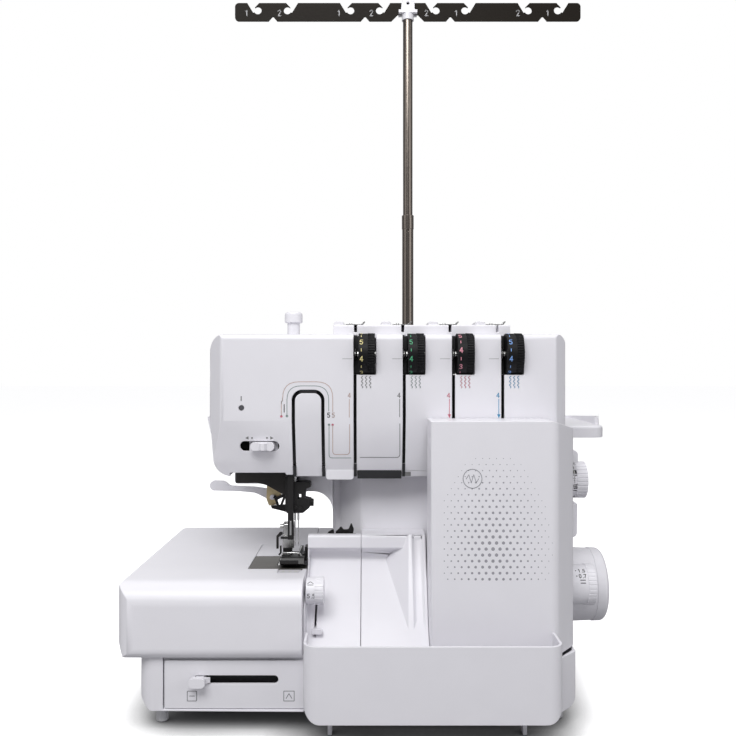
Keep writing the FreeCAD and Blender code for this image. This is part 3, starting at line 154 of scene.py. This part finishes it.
# The presser's bracket is duller than the other dark steel.
SPECIAL = {
    "presser_bracket": finish("dull_dark_steel", (0.055, 0.052, 0.050), 0.5, 0.8, mottle=0.2,
                              relief=0.15),
}

for node, piece in NODES.items():
    piece.data.materials.clear()
    piece.data.materials.append(SPECIAL.get(node) or FINISHES[SLOT_OF[node]])


# ---- softened edges -----------------------------------------------------------------------
LARGE_SHELLS = (
    "head_cover", "looper_cover", "bed_extension", "trim_bin", "column_shell", "spool_stand",
    "base_tray", "rear_bed_cover", "knife_guard", "chute_wing", "front_lower_panel", "rear_cover",
    "top_guide_block")
FINE_PARTS = (
    "needles", "needle_plate", "feed_dogs", "wire_guides", "lower_looper", "upper_looper",
    "upper_knife", "presser_foot", "needle_clamp", "drive_belt", "tension_units", "thread_tree",
    "tree_bracket", "stitch_length_dial", "feed_dial", "width_dial")
NOTCHED = ("thread_tree", "tree_bracket", "front_lower_panel", "spool_stand", "rear_bed_cover")
LARGE_EASE, FINE_EASE, COMMON_EASE = 0.55, 0.08, 0.25


def ease_edges(piece, width, flatten):
    """Breaks every hard edge with a small round, as a moulding or a machined part has.

    Flattening joins coplanar facets first; notched sheets and rims keep theirs.
    """
    for polygon in piece.data.polygons:
        polygon.use_smooth = True
    weld = piece.modifiers.new("weld", "WELD")
    weld.merge_threshold = 1e-6
    if flatten:
        planar = piece.modifiers.new("planar", "DECIMATE")
        planar.decimate_type = "DISSOLVE"
        planar.angle_limit = math.radians(0.6)
    bevel = piece.modifiers.new("bevel", "BEVEL")
    bevel.width = width / 1000
    bevel.segments = 2
    bevel.limit_method = "ANGLE"
    bevel.angle_limit = math.radians(34)
    bevel.use_clamp_overlap = False
    bevel.miter_outer = "MITER_ARC"
    normals = piece.modifiers.new("normals", "WEIGHTED_NORMAL")
    normals.weight = 80
    normals.keep_sharp = False


for node, piece in NODES.items():
    width = LARGE_EASE if node in LARGE_SHELLS else FINE_EASE if node in FINE_PARTS else COMMON_EASE
    ease_edges(piece, width, node not in NOTCHED)


# ---- printed marks ------------------------------------------------------------------------
LIFT = 0.09
DIGITS = {
    "0": [(0.5, 0), (0.1, 0.3), (0.1, 1.3), (0.5, 1.6), (0.9, 1.3), (0.9, 0.3), (0.5, 0)],
    "1": [(0.25, 1.25), (0.6, 1.6), (0.6, 0)],
    "2": [(0.1, 1.3), (0.35, 1.6), (0.7, 1.6), (0.92, 1.3), (0.82, 0.95), (0.1, 0), (0.95, 0)],
    "3": [(0.1, 1.4), (0.4, 1.6), (0.8, 1.5), (0.85, 1.1), (0.45, 0.85), (0.9, 0.6), (0.88, 0.2), (0.5, 0),
          (0.08, 0.2)],
    "4": [(0.72, 0), (0.72, 1.6), (0.05, 0.5), (1.0, 0.5)],
    "5": [(0.88, 1.6), (0.2, 1.6), (0.14, 0.9), (0.6, 1.0), (0.92, 0.6), (0.75, 0.1), (0.4, 0), (0.08, 0.2)],
    "6": [(0.8, 1.6), (0.3, 1.1), (0.1, 0.45), (0.4, 0), (0.85, 0.2), (0.85, 0.7), (0.45, 0.9), (0.14, 0.65)],
    "7": [(0.05, 1.6), (0.95, 1.6), (0.4, 0)],
    ".": [(0.4, 0), (0.5, 0)],
}


def wall(y):
    """A flat face that looks toward the operator."""
    return lambda u, v: mm(u, y - LIFT, v)


def head_face(u, v):
    """The head's face: upright above 246.6, then leaning back in two steps."""
    if v >= 246.6:
        y = 45.0
    elif v >= 211.0:
        y = 45.0 + 10.5 * (246.6 - v) / 35.6
    else:
        y = 55.5 + 4.5 * (211.0 - v) / 14.0
    return mm(u, y - LIFT, v)


def drum(x, y, z, radius):
    """A cylinder along X: u runs along it and v round it, from the front upward."""
    reach = radius + LIFT

    def place(u, v):
        angle = v / radius
        return mm(x + u, y - reach * math.cos(angle), z + reach * math.sin(angle))
    return place


def link_mesh(name, mesh, material, body):
    data = bpy.data.meshes.new(name)
    mesh.to_mesh(data)
    mesh.free()
    data.materials.append(material)
    piece = bpy.data.objects.new(name, data)
    bpy.context.scene.collection.objects.link(piece)
    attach(piece, body)
    return piece


def disc(u, v, radius, steps=16):
    return [(u + radius * math.cos(2 * math.pi * k / steps), v + radius * math.sin(2 * math.pi * k / steps))
            for k in range(steps)]


def ring(u, v, radius, steps=24):
    points = disc(u, v, radius, steps)
    return points + points[:1]


def turned(points, radius, steps=6):
    """The same path with its inner corners rounded."""
    path = [points[0]]
    for before, here, after in zip(points, points[1:], points[2:]):
        b, h, a = Vector(before), Vector(here), Vector(after)
        start, end = h + (b - h).normalized() * radius, h + (a - h).normalized() * radius
        for k in range(steps + 1):
            t = k / steps
            path.append(tuple(start * (1 - t) ** 2 + h * (2 * t * (1 - t)) + end * t ** 2))
    return path + [points[-1]]


def digits(text, u, v, height):
    """Strokes of a number whose lower left corner is at u, v."""
    scale, paths = height / 1.6, []
    for character in text:
        paths.append([(u + a * scale, v + b * scale) for a, b in DIGITS[character]])
        u += scale * (0.7 if character == "." else 1.35)
    return paths


def draw(name, ink, body, place, strokes=(), width=0.6, shapes=()):
    """Lays strokes and filled shapes on a surface as one thin printed layer."""
    mesh = bmesh.new()

    def fill(corners):
        mesh.faces.new([mesh.verts.new(place(u, v)) for u, v in corners])

    for path in strokes:
        for (u0, v0), (u1, v1) in zip(path, path[1:]):
            length = math.hypot(u1 - u0, v1 - v0)
            steps = max(1, math.ceil(length / 1.5))
            across = Vector((v0 - v1, u1 - u0)) * (width / 2 / length)
            for k in range(steps):
                a = Vector((u0, v0)).lerp(Vector((u1, v1)), k / steps)
                b = Vector((u0, v0)).lerp(Vector((u1, v1)), (k + 1) / steps)
                fill([a + across, a - across, b - across, b + across])
        for u, v in path:
            fill(disc(u, v, width / 2, 8))
    for shape in shapes:
        fill(shape)
    return link_mesh(name, mesh, INK[ink], body)


# Threading routes round the take-up and between the first two slots.
draw("route_peach", "peach", "machine", head_face, width=0.6, strokes=[
    turned([(-74.2, 251.2), (-74.2, 263.0), (-73.1, 264.5), (-73.1, 280.2), (-30.2, 280.2),
            (-30.2, 254.7)], 1.5)[:8]
    + turned([(-73.1, 264.5), (-73.1, 280.2), (-30.2, 280.2), (-30.2, 254.7)], 14.0),
    turned([(-30.3, 243.1), (-30.6, 217.0), (-15.9, 217.0), (-15.7, 243.6)], 3.0),
    [(-16.0, 265.1), (-16.0, 249.9)], digits("4", -17.3, 266.6, 4.0)[0]])
draw("route_dots_peach", "pink", "machine", head_face,
     shapes=[disc(-74.2, 250.6, 1.1), disc(-30.3, 243.3, 1.0)])
draw("route_green", "green", "machine", head_face, width=0.6, strokes=[
    turned([(-69.4, 251.2), (-69.4, 276.7), (-33.7, 276.7), (-33.7, 255.2)], 12.0)],
    shapes=[disc(-69.4, 250.8, 1.1)])
draw("route_slate", "green", "machine", head_face, width=0.6, shapes=[disc(-33.4, 243.4, 1.0)], strokes=[
    turned([(-33.4, 243.2), (-33.8, 213.9), (-14.8, 213.9)], 3.0)])
draw("route_grey", "grey", "machine", head_face, width=0.6, strokes=[
    turned([(-6.7, 214.4), (27.7, 214.4), (27.3, 244.2)], 3.0), [(27.1, 265.3), (27.1, 250.2)],
    digits("4", 25.2, 266.6, 4.0)[0]])
draw("route_black", "black", "machine", head_face, width=0.7, strokes=[
    [(-71.8, 260.7), (-71.8, 254.2)], digits("5", -34.9, 249.7, 3.8)[0]])
draw("route_five", "peach", "machine", head_face, width=0.7, strokes=digits("5", -30.9, 249.7, 3.8))
for name, ink, x in (("third", "pink", 69.7), ("fourth", "blue", 112.0)):
    draw("route_" + name, ink, "machine", head_face, width=0.6, strokes=[
        [(x, 265.3), (x, 251.4)], digits("4", x - 2.0, 266.6, 4.0)[0]],
        shapes=[[(x - 1.5, 252.4), (x + 1.5, 252.4), (x, 249.0)]])

# Index lines beside the dials and a thread pictogram under each.
draw("dial_index_lines", "pale_grey", "machine", head_face, width=0.5, strokes=[
    [(x, 299.9), (x + 8.2, 299.9)] for x in (-21.8, 20.9, 62.0, 103.8)])
for i, (ink, x) in enumerate((("grey", -6.6), ("green", 35.9), ("pink", 78.3), ("blue", 120.2))):
    columns = []
    for k in range(3):
        middle = x + 1.6 + 3.4 * k
        columns.append([(middle + 0.75 * math.sin(t * 1.25), 274.9 + t * 0.64) for t in range(17)])
    draw(f"thread_pictogram_{i + 1}", ink, "machine", head_face, width=0.55, strokes=columns)

# The needle selector's end marks, the lamp's bar and the small window by the liner.
draw("selector_marks", "grey", "machine", head_face, width=0.5, shapes=[
    [(-105.8, 231.7), (-103.0, 233.2), (-103.0, 230.2)], [(-81.4, 231.7), (-84.2, 233.2), (-84.2, 230.2)],
    disc(-99.9, 231.7, 0.8), disc(-87.1, 231.7, 0.8)])
draw("lamp_bar", "grey", "machine", head_face, width=0.9, strokes=[[(-108.6, 264.2), (-108.6, 267.6)]])
draw("face_sensor", "grey", "machine", head_face, shapes=[
    [(32.4, 197.6), (37.4, 197.6), (37.4, 201.2), (32.4, 201.2)]])

# ---- dial numbers -------------------------------------------------------------------------
DIAL_INKS = ("yellow", "dial_green", "dial_pink", "dial_blue")
SLOT_XS = (-11.1, 31.1, 73.3, 115.5)
RING_R = 17.8
for i, x in enumerate(SLOT_XS):
    surface = drum(x + 3.0, 52.7, 304.0, RING_R)
    step = math.radians(48) * RING_R
    zero = math.radians(-13.6 if i != 2 else 10.4) * RING_R
    paths = []
    for k in range(7):
        centre = zero + (k - 3) * step
        paths += digits(str(k + 1), 1.1, centre - 2.2, 4.4)
        paths.append([(2.4, centre + step / 2 - 1.1), (2.4, centre + step / 2 + 1.1)])
    draw(f"dial_{i + 1}_numbers", DIAL_INKS[i], f"dial_{i + 1}", surface, paths, 0.62)

stitch = drum(176.5, 85.0, 191.0, 15.8)


def arc_of(radius, degrees):
    return math.radians(degrees) * radius


draw("stitch_length_numbers", "grey", "length_dial", stitch, width=0.5, strokes=sum((
    digits(text, 5.6, arc_of(15.8, angle) - 1.6, 3.2)
    for text, angle in (("1", 2), ("2", 17), ("4", 50))), []))
draw("stitch_length_box", "black", "length_dial", stitch, shapes=[
    [(4.2, arc_of(15.8, 33) + a), (9.0, arc_of(15.8, 33) + a), (9.0, arc_of(15.8, 33) + a + 0.95),
     (4.2, arc_of(15.8, 33) + a + 0.95)] for a in (-1.9, -0.95, 0, 0.95)])
draw("stitch_length_three", "white", "length_dial", drum(176.5, 85.0, 191.0, 15.9), width=0.5,
     strokes=digits("3", 5.7, arc_of(15.8, 33) - 1.4, 2.8))
draw("stitch_length_hatch", "grey", "length_dial", stitch, width=0.45, strokes=[
    [(4.2 + k * 1.0, arc_of(15.8, angle) - 1.0), (4.9 + k * 1.0, arc_of(15.8, angle) + 1.0)]
    for angle in (-14, 68) for k in range(5)])
feed = drum(172.6, 67.0, 101.0, 17.2)
draw("feed_ratio_numbers", "black", "differential_dial", feed, width=0.6, strokes=sum((
    digits(text, 10.3, arc_of(17.2, angle) - 1.6, 3.2)
    for text, angle in (("0.7", 38), ("1.5", 56))), []))
draw("feed_ratio_dots", "black", "differential_dial", feed, shapes=[
    disc(8.4, arc_of(17.2, angle), 0.55, 10) for angle in (38, 56)]
    + [[(11.0, arc_of(17.2, 22) + a), (15.6, arc_of(17.2, 22) + a), (15.6, arc_of(17.2, 22) + a + 0.7),
        (11.0, arc_of(17.2, 22) + a + 0.7)] for a in (-1.6, 0.9)])
width_ring = drum(-51.0, 25.0, 107.0, 10.8)
draw("cutting_width_numbers", "black", "cutting_dial", width_ring, width=0.5, strokes=(
    digits("5.5", 1.2, arc_of(10.8, -8) - 1.8, 3.4)
    + [turned([(1.4, 8.6), (3.6, 10.6), (6.0, 8.6)], 0.8), [(1.4, 7.4), (6.0, 7.4)]]))

# ---- tree, cover and panel marks ----------------------------------------------------------
tree_face = wall(184.0)
draw("tree_numbers", "pale_grey", "tree", tree_face, width=0.9, strokes=sum((
    digits(text, x - 1.9, 654.8, 5.6) for text, x in (
        ("1", -125.0), ("2", -91.2), ("1", -29.9), ("2", 3.5), ("2", 60.3), ("1", 91.0), ("2", 154.6),
        ("1", 185.1))), []))


def lattice_dots():
    """A fading honeycomb of dots, largest low on the cover's left."""
    dots, pitch = [], 5.6
    for row in range(-6, 17):
        for column in range(-10, 11):
            u = 100.5 + (column + 0.5 * (row % 2)) * pitch
            v = 146.5 + row * pitch * math.sqrt(3) / 2
            away = math.hypot(u - 100.5, (v - 146.5) * 0.62)
            radius = 1.5 * (1 - away / 60.0)
            if radius > 0.3 and 58.7 < u < 148.7 and 120.0 < v < 223.7:
                dots.append(disc(u, v, radius, 12))
    return dots


cover_face = wall(3.0)
draw("cover_lattice", "cover_grey", "front_cover", cover_face, shapes=lattice_dots())
draw("cover_ring", "cover_grey", "front_cover", cover_face, width=0.55, strokes=[
    ring(84.0, 203.0, 7.6, 32),
    [(79.0, 203.0), (81.0, 206.2), (83.0, 199.8), (85.0, 206.2), (87.0, 199.8), (89.0, 203.0)]])

panel_face = wall(8.0)
draw("panel_icons", "icon_grey", "machine", panel_face, width=0.5, strokes=[
    turned([(-146.4, 22.3), (-146.4, 30.3), (-138.8, 30.3), (-138.8, 22.3), (-146.0, 22.3)], 1.0),
    [(-144.6, 26.3), (-140.6, 26.3)],
    [(-68.2, 22.3), (-68.2, 30.3), (-59.8, 30.3), (-59.8, 22.3), (-68.2, 22.3)],
    [(-66.4, 24.3), (-64.0, 28.3), (-61.6, 24.3)]])


# ---- small fittings -----------------------------------------------------------------------
def plate(name, material, body, outline, y0, y1, ease=0.15):
    """A flat part cut to an outline of x, z corners, with its edges broken."""
    mesh = bmesh.new()
    front = mesh.faces.new([mesh.verts.new(mm(x, y0, z)) for x, z in outline])
    grown = bmesh.ops.extrude_face_region(mesh, geom=[front])
    back = [v for v in grown["geom"] if isinstance(v, bmesh.types.BMVert)]
    bmesh.ops.translate(mesh, verts=back, vec=(0, (y1 - y0) / 1000, 0))
    bmesh.ops.recalc_face_normals(mesh, faces=mesh.faces)
    piece = link_mesh(name, mesh, material, body)
    bevel = piece.modifiers.new("bevel", "BEVEL")
    bevel.width = ease / 1000
    bevel.segments = 2
    return piece


def strip(points, width):
    """The outline of a bar of even width that follows a path."""
    left, right = [], []
    for i, here in enumerate(points):
        before, after = points[max(0, i - 1)], points[min(len(points) - 1, i + 1)]
        along = (Vector(after) - Vector(before)).normalized()
        across = Vector((-along.y, along.x)) * width / 2
        left.append(tuple(Vector(here) + across))
        right.append(tuple(Vector(here) - across))
    return left + right[::-1]


def rod_path(name, material, body, points, radius):
    """A bent round wire through x, y, z points."""
    curve = bpy.data.curves.new(name, "CURVE")
    curve.dimensions = "3D"
    curve.bevel_depth = radius / 1000
    curve.bevel_resolution = 3
    curve.use_fill_caps = True
    line = curve.splines.new("POLY")
    line.points.add(len(points) - 1)
    for point, spot in zip(line.points, points):
        point.co = (*mm(*spot), 1)
    curve.materials.append(material)
    piece = bpy.data.objects.new(name, curve)
    bpy.context.scene.collection.objects.link(piece)
    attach(piece, body)


BLACKENED, STEEL, BRASS = FINISHES["blackened_steel"], FINISHES["steel"], FINISHES["brass"]
# Black plastic used below as painted shade: flat sheets in slots and behind openings, and the screws' cross
# recesses.
PAINTED_SHADE_BLACK = FINISHES["black_plastic"]

# Linkage between the lifting handle's bracket and the presser bar.
plate("lift_link_upper", BLACKENED, "machine",
      strip([(-92.4, 166.0), (-89.0, 164.2), (-80.5, 168.4)], 3.0), 144.0, 145.6)
plate("lift_link_middle", BLACKENED, "machine", strip([(-90.4, 164.6), (-88.0, 157.0)], 2.6), 143.0, 143.9)
plate("lift_link_cross", BLACKENED, "machine", strip([(-81.0, 168.0), (-85.2, 157.0)], 2.4), 143.0, 143.9)
plate("lift_link_lower", BLACKENED, "machine",
      [(-95.0, 157.6), (-94.0, 154.8), (-84.0, 152.4), (-78.6, 150.8), (-76.4, 155.2), (-80.4, 158.8),
       (-88.0, 158.2)],
      141.5, 143.0)

# The presser foot's light wire frame and the holder's dark release spring.
rod_path("foot_frame", STEEL, "presser", [(-75.2, 61.0, 127.6), (-74.6, 61.0, 130.2), (-60.6, 61.0, 129.9),
                                          (-59.2, 61.0, 128.8), (-56.6, 61.0, 123.4)], 0.75)
rod_path("foot_frame_rear", STEEL, "presser",
         [(-60.2, 61.0, 129.8), (-60.2, 66.0, 130.6), (-60.2, 84.0, 130.6)], 0.6)
plate("release_spring", BLACKENED, "presser",
      [(-79.9, 143.4), (-77.8, 143.4), (-77.8, 140.8), (-81.0, 138.4), (-81.0, 128.2), (-83.1, 128.2),
       (-83.1, 139.6)], 85.2, 85.9)
plate("ankle_spring", BLACKENED, "presser",
      strip([(-79.0, 131.2), (-79.0, 124.8), (-80.6, 122.6)], 1.6), 84.0, 85.0)
plate("threader_streak", STEEL, "threader",
      [(-68.9, 145.0), (-67.3, 145.0), (-67.3, 157.5), (-68.9, 157.5)], 63.28, 63.5)

# The bed's small sight plate in front of the needle plate.
sight = bmesh.new()
outline = [(-76.2, 49.0), (-57.4, 49.0), (-59.0, 37.2), (-73.8, 37.2), (-76.2, 41.0)]
sight.faces.new([sight.verts.new(mm(x, y, 118.35)) for x, y in outline])
link_mesh("sight_plate", sight, FINISHES["grey_plastic"], "bed")
sight_marks = bmesh.new()
for x in (-72.4, -66.6, -61.6):
    sight_marks.faces.new([sight_marks.verts.new(mm(u, v, 118.5)) for u, v in disc(x, 43.0, 1.5, 12)])
link_mesh("sight_marks", sight_marks, INK["white"], "bed")

# Painted shade: black sheets behind the dials and under the take-up, and black marks on the chin beside the
# slots, where the openings only show shade.
for i, x in enumerate(SLOT_XS):
    plate(f"dial_shade_{i + 1}", PAINTED_SHADE_BLACK, "machine",
          [(x - 1.25, 286.5), (x + 2.9, 286.5), (x + 2.9, 320.0), (x - 1.25, 320.0)], 58.2, 58.8)
plate("take_up_shade", PAINTED_SHADE_BLACK, "machine",
      [(-59.0, 270.35), (-44.0, 270.35), (-44.0, 273.2), (-59.0, 273.2)], 46.4, 46.9)
# The chin marks are painted shade under the slots.
draw("chin_shades", "black", "machine", head_face, shapes=[
    [(left, 197.1), (right, 197.1), (right, high), (left, high)]
    for left, right, high in (
        (-12.4, -9.8, 209.0), (29.8, 32.4, 209.0), (-40.1, -37.3, 206.0), (-65.4, -62.6, 207.0))])

# Painted shade: a black sheet behind the mode lever's slot.
plate("slot_painted_shade", PAINTED_SHADE_BLACK, "machine",
      [(-147.0, 33.0), (-67.0, 33.0), (-67.0, 46.0), (-147.0, 46.0)], 17.0, 17.8)


def screw(name, x, y, z, way, radius=3.0):
    """A cross-head screw on a face that looks along -Y or +Y."""
    rings = [(0.0, radius), (0.9, radius), (1.5, radius * 0.72), (1.6, radius * 0.2)]
    mesh = bmesh.new()
    previous = None
    for height, r in rings:
        loop = [mesh.verts.new(mm(x + r * math.cos(a), y + way * height, z + r * math.sin(a)))
                for a in (2 * math.pi * k / 24 for k in range(24))]
        if previous:
            for k in range(24):
                mesh.faces.new([previous[k], previous[(k + 1) % 24], loop[(k + 1) % 24], loop[k]])
        previous = loop
    mesh.faces.new(previous)
    bmesh.ops.recalc_face_normals(mesh, faces=mesh.faces)
    piece = link_mesh(name, mesh, STEEL, "machine")
    for polygon in piece.data.polygons:
        polygon.use_smooth = True
    # The cross recess is a flat black mark: painted shade in place of the recess.
    cross = bmesh.new()
    for turn in (0.4, 0.4 + math.pi / 2):
        du, dv = math.cos(turn), math.sin(turn)
        corners = [(du * a - dv * b, dv * a + du * b)
                   for a, b in ((-1.7, -0.32), (1.7, -0.32), (1.7, 0.32), (-1.7, 0.32))]
        cross.faces.new([cross.verts.new(mm(x + u, y + way * 1.66, z + v)) for u, v in corners])
    link_mesh(name + "_cross", cross, PAINTED_SHADE_BLACK, "machine")


for i, (x, z) in enumerate(((-122, 310), (18, 310), (160, 310), (160, 214), (-20, 200), (-104, 200))):
    screw(f"rear_screw_{i + 1}", x, 152.0, z, 1)
for i, (x, z) in enumerate(((-22, 108), (104, 108), (164, 66))):
    screw(f"motor_cover_screw_{i + 1}", x, 230.0, z, 1)


# ---- floor and light ----------------------------------------------------------------------
floor_mesh = bpy.data.meshes.new("floor")
half = 12.0
floor_corners = [(-half, -half, 0), (half, -half, 0), (half, half, 0), (-half, half, 0)]
floor_mesh.from_pydata(floor_corners, [], [(0, 1, 2, 3)])
floor = bpy.data.objects.new("floor", floor_mesh)
bpy.context.scene.collection.objects.link(floor)


def floor_finish():
    """White paper with a painted contact shadow: ambient occlusion darkens its colour and glow near the
    machine, and elsewhere it glows to camera rays as bright as the backdrop.
    """
    material = bpy.data.materials.new("floor_paper")
    material.use_nodes = True
    nodes, links = material.node_tree.nodes, material.node_tree.links
    shader = nodes["Principled BSDF"]
    shader.inputs["Roughness"].default_value = 0.85
    # Painted contact shadow: ambient occlusion sets how dark the paper's colour and glow become under and
    # beside the machine.
    shade = nodes.new("ShaderNodeAmbientOcclusion")
    shade.inputs["Distance"].default_value = 0.045
    painted_shadow_fade = nodes.new("ShaderNodeMath")
    painted_shadow_fade.operation = "POWER"
    painted_shadow_fade.inputs[1].default_value = 1.9
    links.new(shade.outputs["AO"], painted_shadow_fade.inputs[0])
    seen = nodes.new("ShaderNodeLightPath")
    lit = nodes.new("ShaderNodeMath")
    lit.operation = "MULTIPLY"
    links.new(seen.outputs["Is Camera Ray"], lit.inputs[0])
    links.new(painted_shadow_fade.outputs["Value"], lit.inputs[1])
    glow = nodes.new("ShaderNodeMath")
    glow.operation = "MULTIPLY"
    glow.inputs[1].default_value = 0.7
    links.new(lit.outputs["Value"], glow.inputs[0])
    links.new(glow.outputs["Value"], shader.inputs["Emission Strength"])
    shader.inputs["Emission Color"].default_value = (1, 1, 1, 1)
    paper = nodes.new("ShaderNodeMix")
    paper.data_type = "RGBA"
    paper.inputs["A"].default_value = (0.05, 0.05, 0.053, 1)
    paper.inputs["B"].default_value = (0.95, 0.95, 0.95, 1)
    links.new(painted_shadow_fade.outputs["Value"], paper.inputs["Factor"])
    tone = nodes.new("ShaderNodeMix")
    tone.data_type = "RGBA"
    tone.inputs["A"].default_value = (0.33, 0.33, 0.34, 1)
    links.new(paper.outputs["Result"], tone.inputs["B"])
    links.new(seen.outputs["Is Camera Ray"], tone.inputs["Factor"])
    links.new(tone.outputs["Result"], shader.inputs["Base Color"])
    return material


floor.data.materials.append(floor_finish())

world = bpy.data.worlds.new("world")
bpy.context.scene.world = world
world.use_nodes = True
background = world.node_tree.nodes["Background"]
background.inputs["Color"].default_value = (0.97, 0.97, 1.0, 1)
background.inputs["Strength"].default_value = 0.31
seen = world.node_tree.nodes.new("ShaderNodeBackground")
seen.inputs["Color"].default_value = (1, 1, 1, 1)
seen.inputs["Strength"].default_value = 1.0
path = world.node_tree.nodes.new("ShaderNodeLightPath")
choose = world.node_tree.nodes.new("ShaderNodeMixShader")
world.node_tree.links.new(path.outputs["Is Camera Ray"], choose.inputs[0])
world.node_tree.links.new(background.outputs[0], choose.inputs[1])
world.node_tree.links.new(seen.outputs[0], choose.inputs[2])
world.node_tree.links.new(choose.outputs[0], world.node_tree.nodes["World Output"].inputs["Surface"])


def softbox(name, spot, target, size, power):
    data = bpy.data.lights.new(name, "AREA")
    data.shape = "RECTANGLE"
    data.size, data.size_y = size
    data.energy = power
    light = bpy.data.objects.new(name, data)
    light.location = spot
    light.visible_camera = False
    light.rotation_euler = (Vector(target) - Vector(spot)).to_track_quat("-Z", "Y").to_euler()
    bpy.context.scene.collection.objects.link(light)


softbox("key", (-0.25, -1.15, 1.35), (0, 0, 0.25), (1.0, 0.7), 17.5)
softbox("fill_right", (1.4, -1.0, 0.8), (0, 0, 0.2), (1.0, 1.0), 4.5)
softbox("fill_left", (-1.5, -0.8, 0.8), (0, 0, 0.2), (1.0, 1.0), 2.5)
softbox("top", (0.0, 0.2, 1.9), (0, 0, 0.2), (1.8, 1.4), 11)
softbox("back", (-0.2, 1.2, 0.5), (-0.1, 0, 0.15), (1.6, 0.6), 1.2)

bpy.context.scene.view_settings.view_transform = "Standard"
